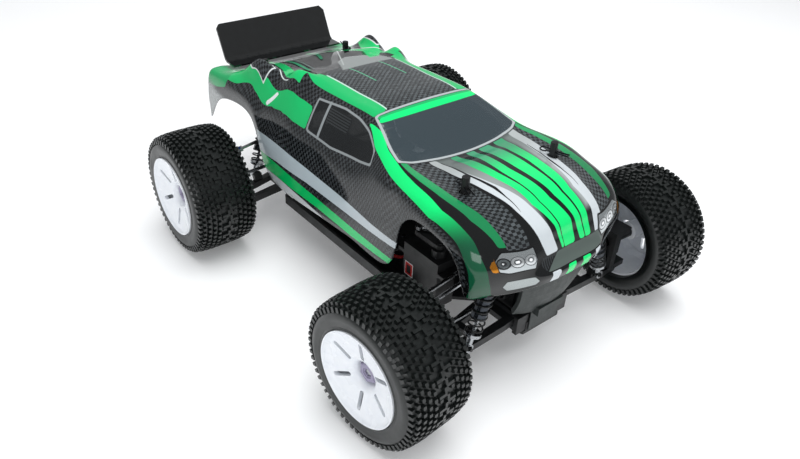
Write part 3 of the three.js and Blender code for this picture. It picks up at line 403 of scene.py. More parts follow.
livery = [
    {"name": "hood black", "panel": [(-5, -90), (-5, 90), (60, 90), (141, 78), (141, -78), (60, -90)],
     "colour": "#0C0E0F"},
    {"name": "bonnet weave", "both": True, "weave": True,
     "stripe": [(34, 38, 56), (60, 38, 57), (100, 40, 60), (141, 44, 60)], "colour": "#2B2F31"},
    {"name": "roof weave", "panel": [(206, -36), (206, 36), (297, 38), (297, -38)], "weave": True,
     "colour": "#2C3032"},
    {"name": "side pale stripe", "byHeight": True, "colour": "#C4CDD2", "fade": (150, 235, "#B2BFC5"),
     "stripe": [(128, 87, 93), (166, 86, 94), (217, 86, 98), (265, 86, 100), (302, 83.5, 101),
                (350, 80, 102)]},
    {"name": "side green stripe", "byHeight": True, "colour": "#10CC70", "fade": (180, 260, "#06B95F"),
     "stripe": [(128, 68, 74), (143, 68, 74.5), (201, 66.5, 75.5), (250, 68, 78), (291, 67, 80),
                (350, 66, 82)]},
    {"name": "rear wedge", "byHeight": True, "colour": "#CDD3D6", "clear": 0.15,
     "stripe": [(232, 40, 58), (244, 40, 62.5), (271, 40, 65), (300, 40, 66.3), (350, 40, 66)]},
    {"name": "fender green", "both": True, "colour": deepGreen, "fade": (36, 92, green),
     "stripe": [(-4, 66, 86), (8, 73, 87), (30, 76, 88), (50, 77, 88), (80, 77, 88), (100, 74, 85),
                (120, 71, 81), (140, 67, 78), (160, 63.5, 73), (180, 56, 69), (200, 56, 60), (207, 57, 58)]},
    {"name": "inner green", "both": True, "colour": "#147A48", "fade": (60, 125, "#1D9558"),
     "stripe": [(36, 56, 62), (60, 57, 68), (80, 59, 68), (100, 60, 68), (120, 60, 67), (141, 60, 65)]},
    # On the hood stripes below, the fade from about 92 to 132 mm back to greyer, darker tones is painted
    # reflection of the sheen near the windscreen.
    {"name": "right mist", "colour": "#8E9493", "soft": 4.0, "fade": (95, 130, "#5E6664"),
     "stripe": [(42, -24, -20), (60, -26, -19), (80, -28, -19), (100, -32, -20), (120, -38, -22),
                (141, -40, -24)]},
    {"name": "left mist", "colour": "#9BA1A1", "soft": 4.0, "fade": (95, 130, "#6B7371"),
     "stripe": [(42, 24, 32), (60, 21, 30), (80, 24, 34), (100, 29, 42), (120, 32, 46), (141, 35, 48)]},
    {"name": "right white", "colour": "#C6CDD1", "fade": (96, 126, "#9FA5A5"),
     "stripe": [(22, -24, -12), (40, -30, -17), (60, -34, -22), (80, -36, -25), (100, -37.5, -29),
                (120, -41, -34), (141, -43, -36.5)]},
    {"name": "left white", "colour": "#C6CDD1", "fade": (96, 130, "#A5ABAB"),
     "stripe": [(22, 29, 38), (40, 29, 38.5), (60, 25, 39), (80, 30, 44), (100, 37, 49), (120, 41, 52),
                (141, 44, 54)]},
    {"name": "right streak", "colour": "#101213",
     "stripe": [(58, -31.6, -31.3), (75, -31.8, -30.8), (88, -31.5, -28.8), (100, -32.4, -30.2),
                (112, -34.2, -32.6), (138, -36, -35)]},
    {"name": "left streak", "colour": "#101213",
     "stripe": [(58, 31, 31.4), (75, 32, 33.4), (90, 35, 37.5), (105, 39, 40.8), (122, 42.4, 43.2)]},
    {"name": "right outer green", "colour": green, "fade": (92, 132, "#2E8F62"),
     "stripe": [(22, -7.5, -5), (40, -12, -8.2), (60, -20, -13), (80, -20, -13), (100, -22, -14.5),
                (120, -24, -15), (141, -24, -17)]},
    {"name": "right inner green", "colour": green, "fade": (92, 132, "#36936A"),
     "stripe": [(22, -4.6, 6.5), (40, -7, 5), (60, -12, -2), (80, -11.5, -2), (100, -11.5, -3),
                (120, -9.5, -1.5), (141, -8, 0)]},
    {"name": "left inner green", "colour": green, "fade": (92, 132, "#36936A"),
     "stripe": [(22, 12, 17.3), (40, 8.5, 14.5), (60, 3, 11), (80, 2.5, 12.5), (100, 2.5, 14.5),
                (120, 3.5, 16), (141, 5, 17)]},
    {"name": "left outer green", "colour": green, "fade": (92, 132, "#2E8F62"),
     "stripe": [(22, 18.2, 24), (40, 16, 22.5), (60, 13, 20.5), (80, 15, 24.5), (100, 18.5, 28),
                (120, 19.5, 30), (141, 22, 34)]},
    {"name": "windscreen", "both": True, "colour": "#46535A", "clear": 0.42, "trim": (2.2, "#A9AFB1"),
     "panel": [(143, -9), (143.5, 40), (142.5, 65), (160, 61.5), (180, 56), (205, 50.5), (205, -9)]},
    {"name": "sun band", "both": True, "colour": green,
     "panel": [(193.5, -9), (193.5, 52), (200.5, 51), (200.5, -9)]},
    {"name": "sun band edge", "both": True, "colour": "#17A860",
     "panel": [(200.5, -9), (200.5, 51), (203.8, 50), (203.8, -9)]},
    {"name": "roof rail green", "both": True, "colour": "#14B565",
     "stripe": [(206.5, 38, 51.5), (250, 38.2, 52), (290, 38.2, 52), (304, 40, 50)]},
    {"name": "roof rail line", "both": True, "colour": "#B9D8CB",
     "stripe": [(206.5, 36.6, 38), (292, 36.8, 38.2)]},
    {"name": "roof fine green right", "colour": "#4FA880", "stripe": [(254, -12, -10.8), (297, -14, -12.8)]},
    {"name": "roof fine green left", "colour": "#4FA880", "stripe": [(254, 20.8, 22), (297, 18.6, 19.8)]},
    {"name": "side window", "both": True, "colour": "#15181A", "clear": 0.1, "trim": (1.9, "#8B9193"),
     "panel": [(178, 71), (178, 82.5), (200, 86.5), (220, 89), (240, 91), (275, 89), (275, 60.5), (240, 57),
               (220, 58.5), (200, 63)]},
    {"name": "window bar", "both": True, "colour": "#8B9193",
     "panel": [(257.6, 57), (257.6, 91), (260.8, 91), (260.8, 57)]},
    {"name": "louvre block", "both": True, "colour": "#141617", "slats": True,
     "panel": [(228, 61), (228, 75), (256.5, 75), (256.5, 61)]},
    {"name": "belt green", "both": True, "colour": "#0EB765", "fade": (395, 425, "#4CCB8E"),
     "stripe": [(277, 69, 89), (290, 69, 90), (310, 75, 96), (330, 72, 87), (345, 70, 92), (360, 76, 95),
                (380, 64, 85), (400, 62, 80), (420, 61, 78), (434, 60, 76)]},
    {"name": "belt bar", "both": True, "colour": "#E3E8EA",
     "panel": [(328.5, 73), (325.5, 76), (337, 89), (340, 87)]},
    {"name": "deck glass", "panel": [(300, -44), (300, 44), (345, 50), (414, 52), (414, -52), (345, -50)],
     "colour": "#0F1213", "clear": 0.3},
    {"name": "deck pale pane", "colour": "#858B8A", "soft": 1.2,
     "panel": [(292, -20), (292, 36), (318, 36), (336, 12), (322, -6)]},
    {"name": "deck green sweep", "colour": "#14C06A",
     "stripe": [(310, 22, 34), (340, 38, 56), (370, 54, 76), (396, 70, 86)]},
    {"name": "deck pale line", "colour": "#A7AFAC",
     "stripe": [(305, -11, -9.5), (340, 9, 10.5), (380, 32, 33.5), (414, 50, 51.5)]},
    {"name": "deck grey line", "colour": "#7D8986",
     "stripe": [(318, -34, -32.5), (345, -27, -25), (375, -19, -17), (414, -7, -5)]},
    {"name": "deck green line", "colour": "#3C9A70",
     "stripe": [(318, -39, -36.5), (345, -33, -30), (375, -26, -22), (414, -16, -11)]},
    {"name": "deck far green line", "colour": "#3C9A70",
     "stripe": [(350, -6, -3), (375, 6, 10), (414, 24, 30)]},
    {"name": "hump green", "both": True, "colour": "#12BE69",
     "stripe": [(302, 44, 63), (315, 46, 64), (330, 46, 57), (350, 40, 49), (380, 31, 38), (420, 19, 24)]},
    {"name": "hump line", "both": True, "colour": "#CBD3D1",
     "stripe": [(318, 64, 65.2), (335, 58, 59.2), (350, 51, 52.2), (380, 39.5, 40.8), (424, 22.5, 24)]},
    {"name": "hump weave", "both": True, "weave": True, "colour": "#26292B", "trim": (1.1, "#D3D8D9"),
     "panel": [(346, 58), (380, 66), (370, 76), (350, 79)]},
    {"name": "tail green", "both": True, "colour": "#1A9559",
     "panel": [(384, 54), (398, 67), (413, 58), (404, 45)]},
    {"name": "tail corner green", "both": True, "colour": "#19A25F",
     "panel": [(402, 52), (402, 88), (440, 92), (440, 52)]},
    {"name": "tail smoke", "both": True, "panel": [(408, 100), (440, 84), (440, 140), (400, 140)],
     "colour": "#8D9695", "soft": 6.0, "clear": 0.45},
    {"name": "grille plate", "colour": "#515B57",
     "panel": [(10, -27), (10, 34), (15, 38), (21.5, 34), (21.5, -13)]},
    {"name": "grille mesh", "colour": "#141617", "slats": True,
     "panel": [(10.5, -28), (21.5, -14), (21.5, -28), (17, -31)]},
    {"name": "lip white right", "colour": "#C6CDD1", "panel": [(-2, -25), (9, -24), (9, -16), (-2, -17)]},
    {"name": "lip green right", "colour": green, "panel": [(-2, -9.5), (9, -8), (9, 0.5), (-2, -1)]},
    {"name": "lip green left", "colour": green, "panel": [(-2, 7.5), (9, 8), (9, 16.5), (-2, 16)]},
    {"name": "lip white left", "colour": "#C6CDD1", "panel": [(-2, 23), (9, 23), (9, 31), (-2, 30)]},
    {"name": "lamp housing", "both": True, "colour": "#B9BFC1", "chrome": True, "trim": (1.4, "#0C0E0F"),
     "panel": [(14, 36), (13, 58), (15, 66), (26, 68), (33, 62), (33, 35), (22, 33)]},
    {"name": "lamp indicator", "both": True, "colour": "#C9822A", "chrome": True,
     "panel": [(15, 66), (16, 70.5), (21, 72), (29, 68)]},
    *lampLayers,
    {"name": "fog lamp", "both": True, "colour": "#A4AAAA", "chrome": True, "trim": (0.8, "#0C0E0F"),
     "panel": [(2, 36), (2, 58), (5, 63), (8, 60), (8.5, 38), (5, 34)]},
]


# signed distance to an outline, positive inside
def insidePanel(u, v, outline):
    outline = np.array(outline, float)
    best = np.full(u.shape, 1e9)
    inside = np.zeros(u.shape, bool)
    for (ax, ay), (bx, by) in zip(outline, np.roll(outline, -1, axis=0)):
        ex, ey = bx - ax, by - ay
        share = np.clip(((u - ax) * ex + (v - ay) * ey) / (ex * ex + ey * ey), 0, 1)
        best = np.minimum(best, np.hypot(u - ax - share * ex, v - ay - share * ey))
        if ay != by:
            crosses = (ay > v) != (by > v)
            inside ^= crosses & (u < ax + ex * (v - ay) / (by - ay))
    return np.where(inside, best, -best)


height = surface[:, :, 2].ravel()


def tapeDistances(layer):
    v = np.abs(across) if layer.get("both") else across
    if layer.get("byHeight"):
        v = height
    if "panel" in layer:
        return [insidePanel(along, v, layer["panel"])]
    if "disc" in layer:
        t0, s0, radius = layer["disc"]
        return [radius - np.hypot(along - t0, v - s0)]
    knots = np.array(layer["stripe"], float)
    ends = np.minimum(along - knots[0, 0], knots[-1, 0] - along)
    low = v - np.interp(along, knots[:, 0], knots[:, 1])
    high = np.interp(along, knots[:, 0], knots[:, 2]) - v
    return [np.minimum(low, ends), np.minimum(high, ends)]


keep = np.ones((rowCount - 1, columnCount - 1), bool)
place = surface.reshape(-1, 3).copy()
for hx, hy in shell["postHoles"]:
    reach = np.hypot(place[:, 0] - hx, place[:, 1] - hy)
    upper = place[:, 2] > 120
    gone = ((reach < shell["holeCut"]) & upper).reshape(rowCount, columnCount)
    keep &= ~(gone[:-1, :-1] | gone[1:, :-1] | gone[:-1, 1:] | gone[1:, 1:])
    rim = (reach >= shell["holeCut"]) & (reach < shell["holePull"]) & upper
    outward = (place[rim, :2] - (hx, hy)) / reach[rim, None]
    spread = shell["holeRadius"] + (reach[rim, None] - shell["holeCut"]) * 0.35
    place[rim, :2] = np.array((hx, hy)) + outward * spread
place = (place + (overhang, 0, 0)) * mm
index = np.arange(rowCount * columnCount).reshape(rowCount, columnCount)
quads = np.stack([index[:-1, :-1], index[:-1, 1:], index[1:, 1:], index[1:, :-1]], axis=-1)[keep]


# polycarbonate skin painted from the inside: flat colour under a clear, wet-looking face
def shellPaint(name, backing=None):
    material, tree, shader = startMaterial(name)

    def tape(name):
        return addNode(tree, "Attribute", attribute_name=name).outputs["Fac"]

    alongSkin, acrossSkin = tape("along skin"), tape("across skin")

    # the printed weave: 2.9 mm cells, light and dark by turns, each tow a little different
    cell = 2.9
    column = math2(tree, "FLOOR", math2(tree, "DIVIDE", acrossSkin, cell))
    line = math2(tree, "FLOOR", math2(tree, "DIVIDE", alongSkin, cell * 0.8))
    over = math2(tree, "PINGPONG", math2(tree, "ADD", column, line), 1.0)
    spot = addNode(tree, "CombineXYZ", {"X": column, "Y": line}).outputs[0]
    tow = addNode(tree, "TexWhiteNoise", {"Vector": spot}, noise_dimensions="2D").outputs["Value"]
    spread = math2(tree, "ADD", math2(tree, "MULTIPLY", tow, 0.5), 0.5)
    lift = math2(tree, "MULTIPLY", over, spread)

    def weave(base):
        shade = [v * 0.35 for v in base[:3]] + [1.0]
        light = [min(1.0, v * 3.0 + 0.008) for v in base[:3]] + [1.0]
        return mixColour(tree, lift, tuple(shade), tuple(light))

    colour = weave(linear("#1E2123"))
    solidity = 1.0
    chrome = 0.0
    for layer in livery:
        edges = [tape("tape " + layer["name"] + " " + end) for end in layer["ends"]]
        depth = edges[0] if len(edges) == 1 else math2(tree, "MINIMUM", edges[0], edges[1])
        soft = layer.get("soft", 0.22)
        span = {"Value": depth, "From Min": -soft, "From Max": soft}
        factor = addNode(tree, "MapRange", span, interpolation_type="SMOOTHSTEP").outputs[0]
        paint = linear(layer["colour"])
        if layer.get("weave"):
            paint = weave(paint)
        # fade: the colour turns to a second one along the skin; on the hood stripes this is painted
        # reflection
        if "fade" in layer:
            start, stop, second = layer["fade"]
            span = {"Value": alongSkin, "From Min": start, "From Max": stop}
            amount = addNode(tree, "MapRange", span, interpolation_type="SMOOTHSTEP").outputs[0]
            paint = mixColour(tree, amount, paint, linear(second))
        if layer.get("slats"):
            wave = math2(tree, "PINGPONG", acrossSkin, 1.1)
            paint = mixColour(tree, math2(tree, "GREATER_THAN", wave, 0.6), paint, linear("#2E3234"))
        colour = mixColour(tree, factor, colour, paint)
        opaque = 1 - layer.get("clear", 0.0)
        solidity = addNode(tree, "Mix", {0: factor, 2: solidity, 3: opaque}, data_type="FLOAT").outputs[0]
        chrome = addNode(tree, "Mix", {0: factor, 2: chrome, 3: 0.85 if layer.get("chrome") else 0.0},
                         data_type="FLOAT").outputs[0]
        if "trim" in layer:
            width, trimColour = layer["trim"]
            fromEdge = math2(tree, "ABSOLUTE", depth)
            span = {"Value": fromEdge, "From Min": width / 2 + 0.2, "From Max": width / 2 - 0.2}
            factor = addNode(tree, "MapRange", span).outputs[0]
            colour = mixColour(tree, factor, colour, linear(trimColour))
            solidity = addNode(tree, "Mix", {0: factor, 2: solidity, 3: 1.0}, data_type="FLOAT").outputs[0]
    # backing: one flat colour for the inside faces, a backing coat that also serves as painted shade inside
    # the shell
    if backing:
        shader.inputs["Base Color"].default_value = linear(backing)
    else:
        tree.links.new(colour, shader.inputs["Base Color"])
        tree.links.new(chrome, shader.inputs["Metallic"])
    tree.links.new(solidity, shader.inputs["Alpha"])
    shader.inputs["Roughness"].default_value = 0.5 if backing else 0.09
    shader.inputs["IOR"].default_value = 1.5
    return material


for layer in livery:
    layer["distances"] = tapeDistances(layer)
    layer["ends"] = ["a", "b"][:len(layer["distances"])]
sprayed = shellPaint("painted polycarbonate, sprayed inside")
skin = makeMesh("painted shell", place, quads, sprayed, sharp=180)
# the inside faces: a dull near-black backing coat that also serves as painted shade inside the shell, clear
# where the windows were masked
skin.data.materials.append(shellPaint("black backing coat", "#0D0E0F"))
for name, values in [("along skin", along), ("across skin", across)] + [
    ("tape " + layer["name"] + " " + end, values)
    for layer in livery for end, values in zip(layer["ends"], layer["distances"])
]:
    store = skin.data.attributes.new(name, "FLOAT", "POINT")
    store.data.foreach_set("value", values.astype(np.float32))
wall = skin.modifiers.new("sheet thickness", "SOLIDIFY")
wall.thickness = shell["wall"] * mm
wall.offset = -1
wall.material_offset = 1
wall.material_offset_rim = 0
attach(skin, "shell")
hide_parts("body_shell")


print("stage: wheels")
tyreRow = {
    # radius from the axle, distance out from the middle of the tread
    "profile": [
        (36.3, -28.2), (36.3, -24.0), (38.5, -25.2), (41.0, -27.8), (43.0, -28.5), (45.0, -28.6),
        (47.0, -28.0), (48.6, -26.9), (50.0, -25.2), (51.4, -22.6), (52.6, -18.0),
        (53.4, -11.0), (53.7, 0.0), (53.4, 11.0),
        (52.6, 18.0), (51.4, 22.6), (50.0, 25.2), (48.6, 26.9), (47.0, 28.0), (45.0, 28.6), (43.0, 28.6),
        (41.6, 28.3), (40.2, 28.4), (38.5, 28.0), (37.2, 28.5), (36.3, 28.0), (36.3, 20.0), (38.5, 18.0),
        (38.5, -18.0), (36.3, -20.0),
    ],
    # rows of single pins: distance from the middle, crown radius, foot radius, share of a step turned on
    "pins": [(10.0, 55.9, 53.0, 0.0), (14.6, 55.7, 52.6, 0.5), (19.2, 55.2, 51.8, 0.0),
             (23.4, 54.4, 50.6, 0.5), (26.2, 52.2, 48.4, 0.0)],
    "pinSize": 2.6,
    "pinsAround": 60,
}
rimRow = {
    "profile": [
        (36.0, 26.0), (36.0, 29.2), (35.5, 29.3), (35.0, 29.0), (34.5, 28.2), (33.6, 27.2), (32.0, 26.5),
        (28.0, 25.5), (23.0, 24.5), (18.0, 23.6), (14.5, 22.8), (12.4, 22.1), (10.8, 21.0), (9.7, 19.4),
        (9.2, 17.8), (9.0, 15.2), (8.6, 14.5), (3.3, 14.5), (3.3, -6.0), (8.0, -6.0), (8.0, 12.0),
        (13.0, 12.5), (14.5, 19.5), (22.0, 20.9), (34.4, 23.2), (34.4, -21.5), (34.6, -23.4),
        (36.0, -23.4), (36.0, -21.0),
        (35.3, -19.0), (35.3, 18.0), (36.0, 20.0),
    ],
    "slots": 6, "slotFrom": 14.0, "slotTo": 30.0, "slotHalfWidth": 1.8,
}


def wheelPlace(front, hand):
    toe = toeIn if front > 0 else 0.0
    stub = Vector((math.sin(toe), hand * math.cos(toe), 0)) * kingpinInset
    centre = Vector((front * halfWheelbase, hand * kingpinY, 0)) + stub
    turn = -toe if hand > 0 else math.pi + toe
    return Matrix.Translation(row(*centre)) @ Matrix.Rotation(turn, 4, "Z")


# one block of tread, a little narrower at its crown
def treadBlock(points, faces, angle, y, halfAround, halfAcross, foot, crown):
    start = len(points)
    for radius, spread in ((foot, 0.35), (crown, 0.0)):
        for ay, aa in ((-1, -1), (1, -1), (1, 1), (-1, 1)):
            yy = y + ay * (halfAcross + spread)
            turn = angle + aa * (halfAround + spread) / axleHeight
            points.append((radius * math.sin(turn) * mm, yy * mm, radius * math.cos(turn) * mm))
    a = start
    faces += [(a + 4, a + 5, a + 6, a + 7), (a, a + 1, a + 5, a + 4), (a + 1, a + 2, a + 6, a + 5),
              (a + 2, a + 3, a + 7, a + 6), (a + 3, a, a + 4, a + 7)]


# the carcass turned about its axle, rows of small pins, and stepped blocks down the middle
def treadMesh():
    points, faces = ringMesh(tyreRow["profile"], 120)
    around, half = tyreRow["pinsAround"], tyreRow["pinSize"] / 2
    for y, crown, foot, lead in tyreRow["pins"]:
        for hand in (-1, 1):
            for k in range(around):
                angle = 2 * math.pi * (k + lead) / around
                treadBlock(points, faces, angle, hand * y, half, half, foot, crown)
    for k in range(around):
        angle = 2 * math.pi * k / around
        step = angle + 2 * math.pi * 0.5 / around
        swing = 1 if k % 2 else -1
        treadBlock(points, faces, angle, swing * 3.6, 1.1, 3.4, 53.2, 55.95)
        treadBlock(points, faces, step, swing * 0.9, 2.2, 1.1, 53.2, 55.9)
        treadBlock(points, faces, step, -swing * 5.4, 1.2, 1.3, 53.2, 55.9)
    return points, faces


def slotCutter():
    rounds = 8
    half = rimRow["slotHalfWidth"]
    ring = []
    for end, centre in ((1, rimRow["slotTo"] - half), (-1, rimRow["slotFrom"] + half)):
        for k in range(rounds + 1):
            angle = math.pi * k / rounds
            ring.append((end * half * math.cos(angle), centre + end * half * math.sin(angle)))
    points, faces = [], []
    for k in range(rimRow["slots"]):
        turn = 2 * math.pi * k / rimRow["slots"]
        start = len(points)
        for y in (16.0, 32.0):
            for x, z in ring:
                points.append(((x * math.cos(turn) + z * math.sin(turn)) * mm, y * mm,
                               (z * math.cos(turn) - x * math.sin(turn)) * mm))
        n = len(ring)
        faces.append(tuple(range(start, start + n)))
        faces.append(tuple(range(start + 2 * n - 1, start + n - 1, -1)))
        faces += [(start + i, start + n + i, start + n + (i + 1) % n, start + (i + 1) % n) for i in range(n)]
    return points, faces


rimPoints, rimFaces = ringMesh(rimRow["profile"], 144)
rimModel = makeMesh("rim pattern", rimPoints, rimFaces, "polished white plastic", sharp=28)
orientOutward(rimModel)
cutterPoints, cutterFaces = slotCutter()
cutter = makeMesh("slot cutter", cutterPoints, cutterFaces, "polished white plastic", smooth=False)
orientOutward(cutter)
cut = rimModel.modifiers.new("radial slots", "BOOLEAN")
cut.object = cutter
cut.solver = "EXACT"
bpy.context.view_layer.update()
rimMesh = bpy.data.meshes.new_from_object(rimModel.evaluated_get(bpy.context.evaluated_depsgraph_get()))
rimMesh.name = "dished rim"
rimMesh.shade_smooth()
rimMesh.set_sharp_from_angle(angle=math.radians(28))
bpy.data.objects.remove(rimModel)
bpy.data.objects.remove(cutter)

treadPoints, treadFaces = treadMesh()
tyreMesh = patternMesh("tyre pattern", treadPoints, treadFaces, "moulded tyre rubber", 32)

hexNut = [(3.2, 14.7), (7.9, 14.7), (8.3, 15.2), (8.3, 18.0), (7.4, 18.8), (4.4, 18.9), (3.9, 18.2),
          (3.2, 17.9)]
nutPoints, nutFaces = ringMesh(hexNut, 6)
stubEnd = [(0.01, 17.4), (2.3, 17.4), (2.8, 16.9), (2.8, 16.1), (0.01, 16.1)]
stubPoints, stubFaces = ringMesh(stubEnd, 20)


def placeShared(name, mesh, place, body, *stands):
    thing = bpy.data.objects.new(name.replace(" ", "_"), mesh)
    bpy.context.scene.collection.objects.link(thing)
    thing.matrix_world = place
    if stands:
        # a turned copy of its own keeps its bounding box exact
        thing.data = mesh.copy()
        thing.data.transform(place)
        thing.matrix_world = Matrix.Identity(4)
    bpy.context.view_layer.update()
    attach(thing, body)
    if stands:
        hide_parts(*stands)
    return thing


# the wheel nuts' purple-grey is painted shade for the dark centre recess of each rim
nutMesh = patternMesh("wheel nut pattern", nutPoints, nutFaces, "purple-grey anodising", 25)
stubMesh = patternMesh("axle end pattern", stubPoints, stubFaces, "turned bright steel", 30)
for where, front, hand in corners:
    place = wheelPlace(front, hand)
    body = "wheel_" + where
    placeShared("rim " + where, rimMesh, place, body, "rim_" + where)
    placeShared("tyre " + where, tyreMesh, place, body, "tyre_" + where)
    placeShared("wheel nut " + where, nutMesh, place, body)
    placeShared("axle end " + where, stubMesh, place, body)


# one helix per shock, from the top of the shock down to the rod's cup at the foot
print("stage: springs and fasteners")
shockRow = {"ahead": 16, "top": (57, 48), "foot": (75, -13)}  # millimetres, z from the axles
springRow = {"coils": 7.5, "radius": 5.85, "wire": 1.3, "from": 0.26, "to": 0.84}


# points and faces of a round tube along a path in metres, with closed ends
def tubeMesh(path, radius, sides):
    path = np.array(path)
    tangent = np.gradient(path, axis=0)
    tangent /= np.linalg.norm(tangent, axis=1)[:, None]
    side = np.cross(tangent[0], (0.3, 0.5, 0.81))
    points, faces = [], []
    for i, (centre, aim) in enumerate(zip(path, tangent)):
        side = side - aim * np.dot(side, aim)
        side /= np.linalg.norm(side)
        other = np.cross(aim, side)
        for k in range(sides):
            angle = 2 * math.pi * k / sides
            points.append(centre + radius * (math.cos(angle) * side + math.sin(angle) * other))
        if i:
            a, b = (i - 1) * sides, i * sides
            faces += [(a + k, a + (k + 1) % sides, b + (k + 1) % sides, b + k) for k in range(sides)]
    faces.append(tuple(range(sides - 1, -1, -1)))
    faces.append(tuple(range(len(points) - sides, len(points))))
    return points, faces


def shockLine(front, hand):
    x = front * (halfWheelbase + shockRow["ahead"])
    top = row(x, hand * shockRow["top"][0], shockRow["top"][1])
    foot = row(x, hand * shockRow["foot"][0], shockRow["foot"][1])
    return top, foot


for where, front, hand in corners:
    top, foot = shockLine(front, hand)
    axis = (foot - top)
    look = frameAlong(top, axis)
    length = axis.length
    path = []
    turns = springRow["coils"]
    steps = int(turns * 20)
    for k in range(steps + 1):
        share = k / steps
        squeeze = share - 0.018 * math.sin(2 * math.pi * share)  # end coils lie closer together
        depth = length * (springRow["from"] + (springRow["to"] - springRow["from"]) * squeeze)
        angle = 2 * math.pi * turns * share
        radius = springRow["radius"] * mm
        local = Vector((radius * math.cos(angle), radius * math.sin(angle), depth))
        path.append(tuple(look @ local))
    points, faces = tubeMesh(path, springRow["wire"] / 2 * mm, 8)
    spring = makeMesh("coil spring " + where, points, faces, "powder-coated spring wire", sharp=60)
    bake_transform(spring)


# a button head with a hex socket, base on z 0
def capScrewMesh(name, head, height, socket, finish):
    profile = [(0.01, -0.4), (head * 0.5, -0.4), (head * 0.5, 0.0), (head * 0.5, height * 0.35),
               (head * 0.44, height * 0.75), (head * 0.32, height), (socket * 0.62, height),
               (socket * 0.55, height * 0.95)]
    turned, faces = ringMesh(profile, 24, closed=False)
    points = [(x, z, y) for x, y, z in turned]
    count = len(profile)
    base = len(points)
    for depth in (height * 0.92, height * 0.2):
        for k in range(24):
            angle = 2 * math.pi * k / 24
            corner = math.cos(math.pi / 6) / math.cos((angle % (math.pi / 3)) - math.pi / 6)
            r = socket * 0.5 * corner * mm
            points.append((r * math.sin(angle), r * math.cos(angle), depth * mm))
    for k in range(24):
        n = (k + 1) % 24
        faces.append((k * count + count - 1, base + k, base + n, n * count + count - 1))
        faces.append((base + k, base + 24 + k, base + 24 + n, base + n))
    faces.append(tuple(base + 24 + k for k in range(24)))
    return patternMesh(name, points, faces, finish, 30)


darkScrew = capScrewMesh("button head screw", 5.4, 1.7, 2.0, "blackened screw steel")
brightScrew = capScrewMesh("plated screw", 6.0, 1.8, 2.4, "bright zinc plate")
smallScrew = capScrewMesh("small cap screw", 3.8, 1.3, 1.5, "blackened screw steel")
chassisBox = {name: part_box(name) for name in (
    "chassis_plate", "steering_servo", "receiver_esc_unit", "battery_pack",
)}


def putScrew(name, mesh, spot, aim, body, turn=0.3):
    placeShared(name, mesh, frameAlong(spot, aim, turn), body)


low = chassisBox["chassis_plate"][0]
count = 0
for x in (-120, -84, -40, 20, 64, 100, 138):
    for hand in (-1, 1):
        count += 1
        spot = Vector(((x + overhang * 0.5) * mm, hand * 19 * mm, low.z + 0.3 * mm))
        putScrew(f"deck screw {count}", darkScrew, spot, (0, 0, -1), "chassis")
for sideName, hand in (("left", 1), ("right", -1)):
    for k, x in enumerate((-70, -20, 40, 82)):
        shallow = Vector((x * mm, hand * 56 * mm, 0.0334))
        finish = brightScrew if x == 82 else darkScrew
        putScrew(f"guard screw {sideName} {k + 1}", finish, shallow, (0, 0, 1), "chassis")
for towerName, front in (("front_shock_tower", 1), ("rear_shock_tower", -1)):
    for hand in (-1, 1):
        top, foot = shockLine(front, hand)
        spot = Vector((top.x + front * 6.8 * mm, top.y, top.z))
        body = "shock_body_" + ("front_" if front > 0 else "rear_") + ("left" if hand > 0 else "right")
        putScrew(f"shock bolt {towerName} {hand}", smallScrew, spot, (front, 0, 0), body)
low, high = chassisBox["receiver_esc_unit"]
for k, (fx, fy) in enumerate(((0.12, 0.12), (0.88, 0.12), (0.88, 0.88), (0.12, 0.88))):
    spot = Vector((low.x + (high.x - low.x) * fx, low.y + (high.y - low.y) * fy, high.z))
    putScrew(f"case screw {k + 1}", smallScrew, spot, (0, 0, 1), "chassis")

# ball studs with anodised nuts on the outer ends of the upper links
studProfile = [(0.01, 0), (1.3, 0), (1.3, 2.6), (2.7, 2.6), (2.7, 5.0), (1.5, 5.0), (1.5, 6.0), (0.01, 6.0)]
studPoints, studFaces = ringMesh(studProfile, 6)
studMesh = patternMesh("link nut pattern", studPoints, studFaces, "blue-dyed anodising", 25)
for where, front, hand in corners:
    low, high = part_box("upper_link_" + where)
    outerY = high.y if hand > 0 else low.y
    spot = Vector(((low.x + high.x) / 2, outerY - hand * 3.2 * mm, low.z + 4.6 * mm))
    carrier = ("c_hub_" if front > 0 else "rear_hub_") + ("left" if hand > 0 else "right")
    placeShared("link nut " + where, studMesh, Matrix.Translation(spot), carrier)


# two short silicone leads with bullet connectors beside the battery
print("stage: leads and small trim")


def smoothPath(knots, stepsPerSpan=12):
    return [tuple(p) for p in throughPoints(np.array(knots), stepsPerSpan)]


def bullet(name, spot, aim, body):
    profile = [(1.2, 0), (2.3, 0.3), (2.3, 4.2), (2.0, 4.6), (2.0, 5.4), (2.3, 5.8), (2.3, 9.0), (1.9, 9.4),
               (1.9, 12.4), (0.9, 13.4), (0.01, 13.6)]
    turned, faces = ringMesh(profile, 18, closed=False)
    model = makeMesh(name, [(x, z, y) for x, y, z in turned], faces, "bright zinc plate", sharp=30)
    orientOutward(model)
    model.matrix_world = frameAlong(spot, aim)
    bpy.context.view_layer.update()
    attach(model, body)


def packedRow(x, y, z):
    return (x * mm, y * mm, z * mm)


